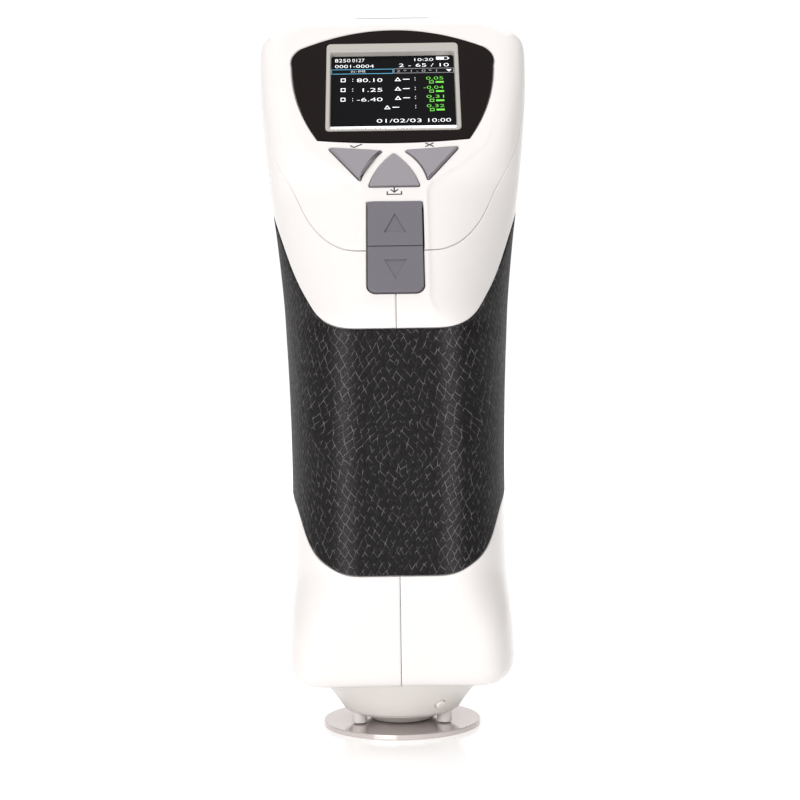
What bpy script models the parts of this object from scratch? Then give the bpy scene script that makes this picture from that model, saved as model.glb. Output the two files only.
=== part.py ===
"""Handheld colorimeter standing on its round locating plate.

Metres, +Z up, the front faces -Y. The origin is the middle of the underside of the bounding box, on the
measuring axis. The body is one lofted solid, hollowed and cut into a front cover and two body shells.
"""
import math

import bmesh
import bpy
import numpy as np
from mathutils import Matrix, Vector

MM = 0.001

# General sizes
GAP = 0.3 * MM
HALF_GAP = GAP / 2
OVERRUN = 4 * MM
LEAST_ROUND = 1 * MM
WELD_DISTANCE = 0.001 * MM
STRAIGHT_ENOUGH = math.radians(155)
TONGUE_STEPS = 4
ROUND_SIDES = 28
NOSE_SIDES = 48
SMALL_SIDES = 16

# Locating plate and its posts
PLATE_RADIUS = 22.75 * MM
PLATE_THICKNESS = 1.5 * MM
PLATE_CHAMFER = 0.25 * MM
APERTURE_RADIUS = 5.0 * MM
POST_RADIUS = 2.1 * MM
POST_CIRCLE_RADIUS = 14.0 * MM
POST_COUNT = 3
POST_HEIGHT = 4.4 * MM

# Nose bowl, its neck and the bayonet
BODY_CLEARANCE = 15.8 * MM
BOWL_TOP_RADIUS = 24.6 * MM
BOWL_EDGE_RADIUS = 16.3 * MM
BOWL_EDGE_RISE = 3.4 * MM
BOWL_FOOT_RADIUS = 8.5 * MM
BOWL_WALL = 2.4 * MM
NECK_RADIUS = 18.0 * MM
NECK_WALL = 1.8 * MM
NECK_HEIGHT = 10.4 * MM
LUG_REACH = 2.3 * MM
LUG_HEIGHT = 2.0 * MM
LUG_COUNT = 3
LUG_ANGLE = math.radians(24)
NOTCH_ANGLE = math.radians(32)
TWIST_ANGLE = math.radians(35)
BAYONET_RADIUS = 25.0 * MM
BAYONET_HEIGHT = 4.0 * MM
DOT_RADIUS = 1.4 * MM
DOT_HEIGHT = 0.8 * MM
DOT_DEPTH = 0.7 * MM
DOT_RISE = 7.0 * MM
DOT_TURN = math.radians(34)
TUBE_RADIUS = 5.9 * MM
TUBE_WALL = 1.1 * MM

# Body: overall sizes of the lofted outside
BODY_HEIGHT = 196.4 * MM
HEAD_HALF_WIDTH = 40.0 * MM
CHIN_DEPTH = 36.5 * MM
BACK_DEPTH = 34.8 * MM
CHIN_RISE_SHARE = 0.520367
FACE_TOP_SHARE = 0.513976
CHIN_BLEND = 1.2 * MM
ARCH_RADIUS = 117.0 * MM
SHOULDER_BLEND = 4.0 * MM
FACET_BLEND = 1.0 * MM
FACET_HALF_WIDTH = 31.8 * MM
BOTTOM_ROUND = 5.5 * MM
TOP_FRONT_ROUND = 4.5 * MM
TOP_BACK_ROUND = 11.0 * MM
TOP_CAP = 0.5 * MM
PAD_STEP = 0.8 * MM
PAD_SLOPE = 0.8 * MM
WALL = 2.8 * MM

# Shares of BODY_HEIGHT against shares of another size, from the bottom up
HALF_WIDTH_SHARES = ((0, 0.80), (0.042, 0.806), (0.072, 0.803), (0.103, 0.793), (0.133, 0.78),
                     (0.174, 0.768), (0.276, 0.763), (0.378, 0.77), (0.454, 0.783), (0.531, 0.808),
                     (0.632, 0.86), (0.734, 0.93), (0.811, 0.973), (0.887, 1.0), (1, 1.01))
FRONT_SHARES = ((0, 0.89), (0.05, 0.89), (0.15, 0.863), (0.25, 0.863), (0.378, 0.904),
                (0.454, 0.959), (0.51, 1.0), (1, 1.0))
BACK_SHARES = ((0, 0.915), (0.072, 0.915), (0.225, 0.873), (0.378, 0.845), (0.531, 0.887),
               (0.683, 0.972), (0.811, 1.0), (0.912, 0.986), (1, 0.944))
WIDEST_SHARES = ((0, 0), (0.43, 0), (0.531, 0.042), (0.632, 0.113), (0.734, 0.225), (0.836, 0.366),
                 (0.938, 0.507), (1, 0.62))
FACET_SHARES = ((0, 0.63), (0.062, 0.6), (0.123, 0.47), (0.174, 0.418), (0.48, 0.418), (0.515, 0.34),
                (0.541, 0.286), (0.693, 0.286), (0.709, 0.32), (0.724, 0.45), (0.746, 0.65),
                (0.778, 0.843), (0.82, 0.928), (0.864, 0.981), (0.907, 1.0), (1, 1.0))
FRONT_POWER_SHARES = ((0, 3.0), (0.08, 2.9), (0.16, 2.2), (0.48, 2.1), (0.55, 1.8), (0.68, 1.8),
                      (0.77, 2.1), (1, 2.2))
BACK_POWER_SHARES = ((0, 3.2), (0.1, 3.0), (0.23, 2.5), (0.6, 2.5), (1, 2.8))
PAD_SHARES = ((0, 0), (0.5, 0), (0.53, 0.7), (0.56, 1.0), (0.72, 1.0), (0.78, 0.5), (0.86, 0.2), (1, 0))
LEVEL_SHARES = (0.055, 0.083, 0.11, 0.145, 0.19, 0.25, 0.32, 0.39, 0.45, 0.485, 0.51, 0.53, 0.55,
                0.58, 0.62, 0.66, 0.69, 0.707, 0.722, 0.74, 0.762, 0.79, 0.825, 0.865, 0.9, 0.93)
INNER_LEVEL_SHARES = (0.07, 0.11, 0.19, 0.3, 0.42, 0.48, 0.52, 0.55, 0.61, 0.68, 0.72, 0.76, 0.81,
                      0.87, 0.92)
TOP_LEVEL_SHARES = (0.052, 0.038, 0.027, 0.018, 0.011, 0.006)
BOTTOM_TURN_SHARES = (0, 0.3, 0.6, 1.0)
FACET_TURN_SHARES = (0, 0.5, 1.0)
FRONT_TURN_SHARES = (0.07, 0.15, 0.26, 0.4, 0.55, 0.7, 0.85, 1.0)
BACK_TURN_SHARES = (0.14, 0.3, 0.46, 0.62, 0.76, 0.88, 1.0)
FACET_LIMIT_SHARE = 0.84

# Side outlines of the seam and of the leather: shares of CHIN_DEPTH and of BODY_HEIGHT
SEAM_SHARES = ((-1.4, 0.6055), (-0.732, 0.6066), (-0.695, 0.608), (-0.656, 0.6123), (-0.598, 0.62),
               (-0.516, 0.6331), (-0.404, 0.6535), (-0.31, 0.674), (-0.23, 0.6945), (-0.165, 0.718),
               (-0.1, 0.746), (0.0, 0.783), (0.15, 0.823), (0.35, 0.863), (0.55, 0.901), (0.72, 0.938),
               (0.849, 0.975), (1.15, 1.12))
LEATHER_TOP_SHARES = ((-1.4, 0.4945), (-0.992, 0.4948), (-0.972, 0.4985), (-0.907, 0.5065),
                      (-0.8, 0.5188), (-0.69, 0.5315), (-0.582, 0.546), (-0.442, 0.569),
                      (-0.305, 0.5947), (-0.18, 0.621), (-0.06, 0.6466), (0.06, 0.6675),
                      (0.25, 0.692), (0.5, 0.71), (0.8, 0.718), (1.4, 0.72))
LEATHER_BOTTOM_SHARES = ((-1.4, 0.1535), (-0.868, 0.1545), (-0.855, 0.1597), (-0.836, 0.1672),
                         (-0.776, 0.1762), (-0.722, 0.1862), (-0.678, 0.1962), (-0.629, 0.2068),
                         (-0.596, 0.2172), (-0.559, 0.228), (-0.51, 0.2387), (-0.42, 0.249),
                         (-0.28, 0.2575), (0, 0.268), (0.4, 0.277), (1.4, 0.281))
LEATHER_THICKNESS = 1.1 * MM
LEATHER_PROUD = 0.15 * MM

# Face: places are measured up the face plane from the chin line, on a plan that
# widens and lengthens with the head
FACE_PLAN_HALF = 40.0 * MM
FACE_PLAN_REACH = 108.773 * MM
PANEL_THICKNESS = 1.2 * MM
PANEL_BASE_UP = 59.1 * MM
PANEL_BASE_HALF = 21.7 * MM
PANEL_BASE_SAG = 1.2 * MM
PANEL_SIDE_UP = 87.0 * MM
PANEL_SIDE_HALF = 29.8 * MM
PANEL_SIDE_BULGE = 1.9 * MM
PANEL_APEX_UP = 101.7 * MM
PANEL_TOP_RADIUS = 55.0 * MM
PANEL_SHOULDER_HALF = 27.4 * MM
RIM_HALF_WIDTH = 19.7 * MM
RIM_LOW_UP = 62.1 * MM
RIM_HIGH_UP = 96.1 * MM
RIM_SIDE = 1.3 * MM
RIM_TOP = 3.4 * MM
RIM_FOOT = 0.7 * MM
RIM_CORNER = 1.5 * MM
RIM_PROUD = 0.35 * MM
SCREEN_SINK = 1.6 * MM
SCREEN_THICKNESS = 3.0 * MM
SCREEN_BORDER = 1.0 * MM
BOARD_THICKNESS = 1.6 * MM
BOARD_BORDER = 3.6 * MM
STUD_RADIUS = 1.6 * MM

KEY_PROUD = 0.6 * MM
KEY_CORNER = 0.8 * MM
KEY_FLANGE = 0.9 * MM
KEY_FLANGE_THICKNESS = 1.2 * MM
STEM_RADIUS = 1.8 * MM
STEM_LENGTH = 1.2 * MM
DOME_GAP = 1.0 * MM
DOME_RADIUS = 2.4 * MM
DOME_HEIGHT = 0.8 * MM
MAT_THICKNESS = 0.8 * MM
SIDE_KEY_INNER = 3.35 * MM
SIDE_KEY_OUTER = 18.6 * MM
SIDE_KEY_POINT = 9.6 * MM
SIDE_KEY_INNER_UP = 54.4 * MM
SIDE_KEY_OUTER_UP = 55.7 * MM
SIDE_KEY_POINT_UP = 43.9 * MM
SIDE_KEY_HOLLOW = 1.1 * MM
SAVE_HALF_WIDTH = 7.1 * MM
SAVE_LOW_UP = 41.7 * MM
SAVE_APEX_UP = 53.5 * MM
SAVE_BULGE = 1.0 * MM
ARROW_KEY_HALF = 7.6 * MM
ARROW_KEY_LOW_UP = 5.1 * MM
ARROW_KEY_MIDDLE_UP = 20.6 * MM
ARROW_KEY_HIGH_UP = 36.3 * MM
ARROW_KEY_CORNER = 2.3 * MM
ARROW_HALF_WIDTH = 3.0 * MM
ARROW_HEIGHT = 6.4 * MM
ARROW_DEPTH = 0.4 * MM
KEY_BOARD_HALF = 12.9 * MM
KEY_BOARD_WIDE_HALF = 19.0 * MM
KEY_BOARD_LOW_UP = 3.0 * MM
KEY_BOARD_STEP_UP = 40.5 * MM
KEY_BOARD_HIGH_UP = 57.0 * MM
SHOULDER_RISE = 0.5 * MM
KEY_STUD_HALF = 10.9 * MM
KEY_STUD_LOW_UP = 9.0 * MM
KEY_STUD_HIGH_UP = 40.0 * MM

# Inside the grip
CHASSIS_FRONT = 2.0 * MM
CHASSIS_THICKNESS = 2.4 * MM
CHASSIS_LOW = 88.0 * MM
CHASSIS_HIGH = 160.0 * MM
MAIN_BOARD_HALF = 22.0 * MM
MAIN_BOARD_LOW = 90.0 * MM
MAIN_BOARD_HIGH = 139.0 * MM
SHIELD_HALF = 9.0 * MM
SHIELD_THICKNESS = 3.0 * MM
SHIELD_CENTRE = 118.0 * MM
BUZZER_RADIUS = 4.5 * MM
BUZZER_HEIGHT = 4.0 * MM
BUZZER_CENTRE = 100.0 * MM
BUZZER_SHIFT = 12.0 * MM
CELL_RADIUS = 9.2 * MM
CELL_LENGTH = 65.0 * MM
CELL_LOW = 93.0 * MM
CRADLE_WALL = 1.6 * MM
CRADLE_END = 1.5 * MM
CONTACT_THICKNESS = 0.8 * MM
CONTACT_HALF = 5.0 * MM
BOSS_RADIUS = 3.8 * MM
SCREW_RADIUS = 1.25 * MM
SCREW_HEAD_RADIUS = 2.2 * MM
SCREW_HEAD_HEIGHT = 1.6 * MM
SCREW_LENGTH = 12.0 * MM
SCREW_SEAT = 5.0 * MM
SCREW_PLACES = ((-22.0 * MM, 76.0 * MM), (21.0 * MM, 76.0 * MM), (-19.5 * MM, 104.0 * MM))

# Optics above the nose
SPHERE_RADIUS = 20.5 * MM
SPHERE_WALL = 1.5 * MM
SPHERE_CENTRE = 42.0 * MM
SPHERE_FLANGE = 24.0 * MM
SPHERE_FLANGE_THICKNESS = 1.5 * MM
SPHERE_ARC_STEPS = 5
COLLAR_RADIUS = 15.0 * MM
COLLAR_HEIGHT = 21.0 * MM
DETECTOR_HOLE = 4.5 * MM
DECK_THICKNESS = 2.5 * MM
LAMP_BOARD_RADIUS = 14.0 * MM
LAMP_COUNT = 6
LAMP_RADIUS = 1.2 * MM
LAMP_HEIGHT = 1.0 * MM
LAMP_CIRCLE_RADIUS = 11.4 * MM
BARREL_RADIUS = 5.8 * MM
BARREL_WALL = 1.2 * MM
BARREL_FLANGE = 8.0 * MM
BARREL_FLANGE_THICKNESS = 1.5 * MM
BARREL_HEIGHT = 15.0 * MM
LENS_THICKNESS = 2.4 * MM
LENS_RISE = 8.0 * MM
SENSOR_BOARD_HALF = 10.0 * MM

# Back of the head
REAR_BOARD_SETBACK = 13.3 * MM
REAR_BOARD_LOW = 164.0 * MM
REAR_BOARD_HIGH = 200.0 * MM
TEST_HALF_WIDTH = 7.5 * MM
TEST_HALF_HEIGHT = 9.0 * MM
TEST_CORNER = 3.0 * MM
TEST_CENTRE = 175.0 * MM
TEST_PROUD = 1.4 * MM
TEST_TRAVEL = 0.8 * MM
TEST_FLANGE = 1.2 * MM
TEST_FLANGE_THICKNESS = 1.2 * MM
TACT_HALF = 3.0 * MM
TACT_HEIGHT = 3.6 * MM
SOCKET_HALF_WIDTH = 3.9 * MM
SOCKET_HALF_HEIGHT = 2.0 * MM
SOCKET_WALL = 0.5 * MM
SOCKET_BACK = 1.5 * MM
SOCKET_SHIFT = -12.5 * MM
SOCKET_CENTRE = 192.0 * MM
COVER_HALF_WIDTH = 6.6 * MM
COVER_HALF_HEIGHT = 4.4 * MM
COVER_THICKNESS = 1.0 * MM
COVER_PLUG_LENGTH = 1.2 * MM
COVER_PLUG_EASE = 1.2 * MM
COVER_CORNER = 1.5 * MM
SWITCH_SHIFT = 12.5 * MM
SWITCH_CENTRE = 192.0 * MM
SWITCH_HALF_WIDTH = 4.5 * MM
SWITCH_HALF_HEIGHT = 1.9 * MM
SWITCH_TRAVEL = 3.0 * MM
SLIDER_HALF_WIDTH = 2.0 * MM
SLIDER_HALF_HEIGHT = 1.2 * MM
SLIDER_PROUD = 1.0 * MM
SLIDER_FOOT = 1.1 * MM
SLIDER_FOOT_THICKNESS = 0.8 * MM

# Places that follow from the sizes above
REAR_BOARD_FRONT = BACK_DEPTH - REAR_BOARD_SETBACK
BODY_BOTTOM = BODY_CLEARANCE
BODY_TOP = BODY_BOTTOM + BODY_HEIGHT
CHIN_LEVEL = BODY_BOTTOM + CHIN_RISE_SHARE * BODY_HEIGHT
FACE_TILT = math.atan2(CHIN_DEPTH + FACE_TOP_SHARE * BACK_DEPTH, BODY_TOP - CHIN_LEVEL)
FACE_SPREAD = HEAD_HALF_WIDTH / FACE_PLAN_HALF
FACE_STRETCH = (BODY_TOP - CHIN_LEVEL) / math.cos(FACE_TILT) / FACE_PLAN_REACH
FACE = Matrix(((FACE_SPREAD, 0, 0, 0),
               (0, FACE_STRETCH * math.sin(FACE_TILT), -math.cos(FACE_TILT), -CHIN_DEPTH),
               (0, FACE_STRETCH * math.cos(FACE_TILT), math.sin(FACE_TILT), CHIN_LEVEL),
               (0, 0, 0, 1)))
SIDE_VIEW = Matrix(((0, 0, 1, 0), (1, 0, 0, 0), (0, 1, 0, 0), (0, 0, 0, 1)))
BACK_VIEW = Matrix(((-1, 0, 0, 0), (0, 0, 1, 0), (0, 1, 0, 0), (0, 0, 0, 1)))
UPRIGHT = Matrix.Identity(4)

WHITE = ("white_shell", (0.86, 0.83, 0.81), 0.32, 0.0)
LEATHER = ("black_leather", (0.035, 0.03, 0.032), 0.55, 0.0)
PANEL_BLACK = ("panel_black", (0.02, 0.015, 0.014), 0.2, 0.0)
RIM_GREY = ("rim_grey", (0.5, 0.48, 0.44), 0.4, 0.0)
SCREEN_BLACK = ("screen", (0.01, 0.01, 0.012), 0.15, 0.0)
KEY_GREY = ("key_grey", (0.3, 0.29, 0.31), 0.5, 0.0)
ARROW_GREY = ("arrow_key_grey", (0.17, 0.16, 0.19), 0.5, 0.0)
NOSE_WHITE = ("nose_white", (0.8, 0.77, 0.73), 0.4, 0.0)
PLATE_METAL = ("plate_metal", (0.62, 0.58, 0.56), 0.2, 0.9)
BOARD_GREEN = ("board_green", (0.03, 0.2, 0.08), 0.5, 0.0)
SPHERE_WHITE = ("sphere_white", (0.9, 0.9, 0.88), 0.7, 0.0)
CHASSIS_GREY = ("chassis_grey", (0.2, 0.2, 0.21), 0.6, 0.0)
STEEL = ("bright_steel", (0.6, 0.6, 0.6), 0.3, 1.0)
CELL_BLUE = ("cell_sleeve", (0.05, 0.12, 0.4), 0.4, 0.0)
RUBBER = ("soft_rubber", (0.07, 0.07, 0.075), 0.8, 0.0)
GLASS = ("lens_glass", (0.8, 0.85, 0.9), 0.05, 0.0)


def clear_scene():
    """Remove every object, so that the script can be run again."""
    for item in list(bpy.data.objects):
        bpy.data.objects.remove(item, do_unlink=True)


def new_collection(name):
    """Make a collection under the scene's own."""
    group = bpy.data.collections.new(name)
    bpy.context.scene.collection.children.link(group)
    return group


clear_scene()
PARTS = new_collection("handheld_colorimeter")
CUTTERS = new_collection("cutters")


def material(finish):
    """Return the Principled material of a finish, made once."""
    name, colour, roughness, metallic = finish
    found = bpy.data.materials.get(name)
    if found:
        return found
    made = bpy.data.materials.new(name)
    made.use_nodes = True
    shader = made.node_tree.nodes["Principled BSDF"]
    shader.inputs["Base Color"].default_value = (*colour, 1)
    shader.inputs["Roughness"].default_value = roughness
    shader.inputs["Metallic"].default_value = metallic
    return made


def as_part(item, name, finish):
    """Name a solid, give it its finish and keep it with the parts."""
    item.name = name
    item.data.name = name
    item.data.materials.clear()
    item.data.materials.append(material(finish))
    item.data.shade_smooth()
    item.data.set_sharp_from_angle(angle=math.radians(32))
    for group in list(item.users_collection):
        group.objects.unlink(item)
    PARTS.objects.link(item)
    item.hide_render = False
    item.display_type = "TEXTURED"
    return item


def pivoted(item, place):
    """Put a moving part's origin on its joint, without moving its shape."""
    item.data.transform(Matrix.Translation(-Vector(place)))
    item.location = place
    return item


def solid_from(work, name):
    """Turn a bmesh into an object that is a cutter until it is made a part."""
    mesh = bpy.data.meshes.new(name)
    work.to_mesh(mesh)
    work.free()
    item = bpy.data.objects.new(name, mesh)
    CUTTERS.objects.link(item)
    item.hide_render = True
    item.display_type = "WIRE"
    return item


def box(low, high, frame=UPRIGHT, bevel=0):
    """A block between two corners given in a frame's own coordinates."""
    work = bmesh.new()
    middle = (Vector(low) + Vector(high)) / 2
    size = Vector(high) - Vector(low)
    place = frame @ Matrix.Translation(middle) @ Matrix.Diagonal((*size, 1))
    bmesh.ops.create_cube(work, size=1, matrix=place)
    if bevel:
        bmesh.ops.bevel(work, geom=work.edges[:], offset=bevel, segments=1, affect="EDGES")
    return solid_from(work, "block")


def rod(radius, low, high, centre, frame=UPRIGHT, sides=SMALL_SIDES):
    """A round bar along the frame's third axis."""
    work = bmesh.new()
    place = frame @ Matrix.Translation((centre[0], centre[1], (low + high) / 2))
    bmesh.ops.create_cone(work, cap_ends=True, segments=sides, radius1=radius, radius2=radius,
                          depth=high - low, matrix=place)
    return solid_from(work, "rod")


def prism(outline, low, high, frame=UPRIGHT):
    """A flat outline made thick, from a filled 2D curve."""
    curve = bpy.data.curves.new("outline", "CURVE")
    curve.dimensions = "2D"
    curve.fill_mode = "BOTH"
    curve.extrude = (high - low) / 2
    spline = curve.splines.new("POLY")
    spline.points.add(len(outline) - 1)
    for point, place in zip(spline.points, outline):
        point.co = (place[0], place[1], 0, 1)
    spline.use_cyclic_u = True
    holder = bpy.data.objects.new("outline", curve)
    bpy.context.scene.collection.objects.link(holder)
    graph = bpy.context.evaluated_depsgraph_get()
    mesh = bpy.data.meshes.new_from_object(holder.evaluated_get(graph))
    bpy.data.objects.remove(holder)
    work = bmesh.new()
    work.from_mesh(mesh)
    bpy.data.meshes.remove(mesh)
    bmesh.ops.remove_doubles(work, verts=work.verts, dist=WELD_DISTANCE)
    bmesh.ops.dissolve_limit(work, angle_limit=math.radians(1), verts=work.verts, edges=work.edges)
    bmesh.ops.transform(work, matrix=frame @ Matrix.Translation((0, 0, (low + high) / 2)),
                        verts=work.verts)
    bmesh.ops.recalc_face_normals(work, faces=work.faces)
    return solid_from(work, "prism")


def turned(profile, sides=ROUND_SIDES):
    """A solid of revolution about Z. The profile is closed and runs down its outer side."""
    work = bmesh.new()
    points = [work.verts.new((radius, 0, height)) for radius, height in profile]
    for first, second in zip(points, points[1:] + points[:1]):
        if first.co.x > 0 or second.co.x > 0:
            work.edges.new((first, second))
    item = solid_from(work, "turned")
    spin = item.modifiers.new("spin", "SCREW")
    spin.angle = math.tau
    spin.steps = sides
    spin.render_steps = sides
    spin.use_merge_vertices = True
    spin.merge_threshold = WELD_DISTANCE
    settle(item)
    work = bmesh.new()
    work.from_mesh(item.data)
    bmesh.ops.recalc_face_normals(work, faces=work.faces)
    work.to_mesh(item.data)
    work.free()
    return item


def settle(item):
    """Apply an object's modifiers to its mesh."""
    graph = bpy.context.evaluated_depsgraph_get()
    graph.update()
    mesh = bpy.data.meshes.new_from_object(item.evaluated_get(graph))
    item.modifiers.clear()
    item.data = mesh


def combine(item, other, operation):
    """Cut, join or trim a solid with another one, which is then removed."""
    change = item.modifiers.new(operation.lower(), "BOOLEAN")
    change.operation = operation
    change.object = other
    settle(item)
    bpy.data.objects.remove(other)
    return item


def cut(item, *others):
    """Take other solids away."""
    for other in others:
        combine(item, other, "DIFFERENCE")
    return item


def join(item, *others):
    """Add other solids that overlap this one."""
    for other in others:
        combine(item, other, "UNION")
    return item


def trim(item, other):
    """Keep only what lies inside the other solid."""
    return combine(item, other, "INTERSECT")


def shares_at(table, share):
    """Smooth value of a table of shares, without overshoot between its rows."""
    places = [row[0] for row in table]
    values = [row[1] for row in table]
    share = min(max(share, places[0]), places[-1])
    slopes = [(values[i + 1] - values[i]) / (places[i + 1] - places[i]) for i in range(len(places) - 1)]
    leans = [slopes[0]]
    for before, after in zip(slopes, slopes[1:]):
        leans.append(0 if before * after <= 0 else 2 * before * after / (before + after))
    leans.append(slopes[-1])
    row = min(int(np.searchsorted(places, share, side="right")) - 1, len(places) - 2)
    span = places[row + 1] - places[row]
    t = (share - places[row]) / span
    return (values[row] * (1 + 2 * t) * (1 - t) ** 2 + leans[row] * span * t * (1 - t) ** 2
            + values[row + 1] * t * t * (3 - 2 * t) + leans[row + 1] * span * t * t * (t - 1))


def soft_least(first, second, blend):
    """The smaller of two lengths, with a smooth change between them."""
    least = min(first, second)
    return least - blend * math.log(math.exp((least - first) / blend) + math.exp((least - second) / blend))


def edge_draw(depth, radius):
    """How far a rounded edge draws in at a depth below the surface that it ends in."""
    if depth >= radius:
        return 0
    return radius - math.sqrt(max(radius ** 2 - (radius - depth) ** 2, 0))


def section(level, inset):
    """The body's outline at a height, as points from the front middle round the left side."""
    share = (level - BODY_BOTTOM) / BODY_HEIGHT
    top_depth = BODY_TOP - inset - level
    low_draw = edge_draw(level - BODY_BOTTOM - inset, max(BOTTOM_ROUND - inset, LEAST_ROUND))
    arch = ARCH_RADIUS - inset
    arch_width = math.sqrt(max(2 * arch * top_depth - top_depth ** 2, 0))
    side = shares_at(HALF_WIDTH_SHARES, share) * HEAD_HALF_WIDTH - inset
    width = soft_least(side, arch_width, SHOULDER_BLEND) - low_draw
    plane = -CHIN_DEPTH + (level - CHIN_LEVEL) * math.tan(FACE_TILT)
    lower = -shares_at(FRONT_SHARES, share) * CHIN_DEPTH
    front = -soft_least(-plane, -lower, CHIN_BLEND)
    front += inset / math.cos(FACE_TILT) + low_draw
    front += edge_draw(top_depth, max(TOP_FRONT_ROUND - inset, LEAST_ROUND))
    back = shares_at(BACK_SHARES, share) * BACK_DEPTH - inset - low_draw
    back -= edge_draw(top_depth, max(TOP_BACK_ROUND - inset, LEAST_ROUND))
    widest = shares_at(WIDEST_SHARES, share) * BACK_DEPTH
    widest = min(widest, (front + 2 * back) / 3)
    facet = shares_at(FACET_SHARES, share) * FACET_HALF_WIDTH - inset / 2
    facet = soft_least(facet, FACET_LIMIT_SHARE * width, FACET_BLEND)
    front_power = 2 / shares_at(FRONT_POWER_SHARES, share)
    back_power = 2 / shares_at(BACK_POWER_SHARES, share)
    pad = shares_at(PAD_SHARES, share) * PAD_STEP
    half = [(facet * turn, front) for turn in FACET_TURN_SHARES]
    for turn in FRONT_TURN_SHARES:
        angle = turn * math.pi / 2
        across = (width - facet) * math.sin(angle) ** front_power
        along = (front - widest) * max(math.cos(angle), 0) ** front_power
        drop = pad * (1 - math.exp(-across / PAD_SLOPE)) * math.cos(angle)
        half.append((facet + across, widest + along + drop))
    for turn in BACK_TURN_SHARES:
        angle = turn * math.pi / 2
        across = width * max(math.cos(angle), 0) ** back_power
        half.append((across, widest + (back - widest) * math.sin(angle) ** back_power))
    mirrored = [(-x, y) for x, y in reversed(half[1:-1])]
    return [(x, y, level) for x, y in half + mirrored]


def levels(inset, shares):
    """Heights of the loft's sections, close together where its edges are round."""
    bottom = BODY_BOTTOM + inset
    top = BODY_TOP - inset
    low_round = max(BOTTOM_ROUND - inset, LEAST_ROUND)
    low = [bottom + low_round * (1 - math.cos(turn * math.pi / 2)) for turn in BOTTOM_TURN_SHARES]
    middle = [BODY_BOTTOM + share * BODY_HEIGHT for share in shares]
    high = [top - share * BODY_HEIGHT for share in TOP_LEVEL_SHARES]
    return low + [level for level in middle if low[-1] < level < high[0]] + high + [top - TOP_CAP]


def body_solid(inset=0, shares=LEVEL_SHARES):
    """The lofted body, drawn in all round by an inset."""
    work = bmesh.new()
    rings = []
    for level in levels(inset, shares):
        rings.append([work.verts.new(point) for point in section(level, inset)])
    count = len(rings[0])
    for lower, upper in zip(rings, rings[1:]):
        for i in range(count):
            j = (i + 1) % count
            work.faces.new((lower[i], lower[j], upper[j], upper[i]))
    work.faces.new(list(reversed(rings[0])))
    work.faces.new(rings[-1])
    bmesh.ops.recalc_face_normals(work, faces=work.faces)
    return solid_from(work, "body")


def side_line(table, shift):
    """A line of the side view, moved up and back by a shift along its normals."""
    line = [Vector((y * CHIN_DEPTH, BODY_BOTTOM + z * BODY_HEIGHT)) for y, z in table]
    moved = []
    for i, point in enumerate(line):
        lean = (line[min(i + 1, len(line) - 1)] - line[max(i - 1, 0)]).normalized()
        moved.append(point + Vector((-lean.y, lean.x)) * shift)
    return moved


def side_region(lower, upper):
    """A solid across the body between two lines of the side view."""
    reach = HEAD_HALF_WIDTH + OVERRUN
    return prism(list(lower) + list(reversed(upper)), -reach, reach, SIDE_VIEW)


def region_below_seam():
    """Everything under the seam of the front cover."""
    seam = side_line(SEAM_SHARES, -HALF_GAP)
    floor = [Vector((point.x, BODY_BOTTOM - OVERRUN)) for point in (seam[0], seam[-1])]
    return side_region(floor, seam)


def region_above_seam():
    """Everything over the seam of the front cover."""
    seam = side_line(SEAM_SHARES, HALF_GAP)
    corner = Vector((seam[0].x, seam[-1].y))
    return side_region(seam, [corner, corner + Vector((OVERRUN, OVERRUN))])


def leather_band(shift):
    """The solid that holds the leather, grown by a shift at its edges."""
    return side_region(side_line(LEATHER_BOTTOM_SHARES, -shift), side_line(LEATHER_TOP_SHARES, shift))


def leather_layer(inner, outer, shift):
    """The layer of the body's skin that the leather fills."""
    layer = body_solid(-outer)
    trim(layer, leather_band(shift))
    return cut(layer, body_solid(inner))


def grown(outline, distance):
    """An outline with its sides moved out by a distance."""
    count = len(outline)
    area = sum(outline[i][0] * outline[(i + 1) % count][1] - outline[(i + 1) % count][0] * outline[i][1]
               for i in range(count))
    sign = 1 if area > 0 else -1
    result = []
    for i in range(count):
        before = (Vector(outline[i]) - Vector(outline[i - 1])).normalized()
        after = (Vector(outline[(i + 1) % count]) - Vector(outline[i])).normalized()
        first = Vector((before.y, -before.x)) * sign
        second = Vector((after.y, -after.x)) * sign
        middle = (first + second).normalized()
        result.append(tuple(Vector(outline[i]) + middle * distance / max(middle.dot(first), 0.35)))
    return result


def bowed(start, end, bulge, steps=6):
    """Points from start towards end on an arc that stands off the straight line by a bulge."""
    start, end = Vector(start), Vector(end)
    across = (end - start)
    normal = Vector((across.y, -across.x)).normalized()
    return [tuple(start + across * (i / steps) + normal * bulge * 4 * (i / steps) * (1 - i / steps))
            for i in range(steps)]


def rounded(outline, radius, steps=3):
    """An outline with each true corner replaced by a short arc."""
    result = []
    count = len(outline)
    for i in range(count):
        here = Vector(outline[i])
        back = Vector(outline[i - 1]) - here
        ahead = Vector(outline[(i + 1) % count]) - here
        if back.angle(ahead) > STRAIGHT_ENOUGH:
            result.append(tuple(here))
            continue
        reach = min(radius, back.length * 0.45, ahead.length * 0.45)
        first = here + back.normalized() * reach
        last = here + ahead.normalized() * reach
        for step in range(steps + 1):
            t = step / steps
            result.append(tuple(first * (1 - t) ** 2 + here * 2 * t * (1 - t) + last * t * t))
    return result


def rectangle(half_width, low, high):
    """Corners of an upright rectangle about the middle line."""
    return [(-half_width, low), (half_width, low), (half_width, high), (-half_width, high)]


def tongue(half_width, low, high, radius):
    """Upright rectangle whose two low corners are round."""
    turns = [math.pi / 2 * step / TONGUE_STEPS for step in range(TONGUE_STEPS + 1)]
    right = [(half_width - radius * (1 - math.sin(turn)), low + radius * (1 - math.cos(turn)))
             for turn in turns]
    left = [(-x, y) for x, y in reversed(right)]
    return left + right + [(half_width, high), (-half_width, high)]


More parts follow.
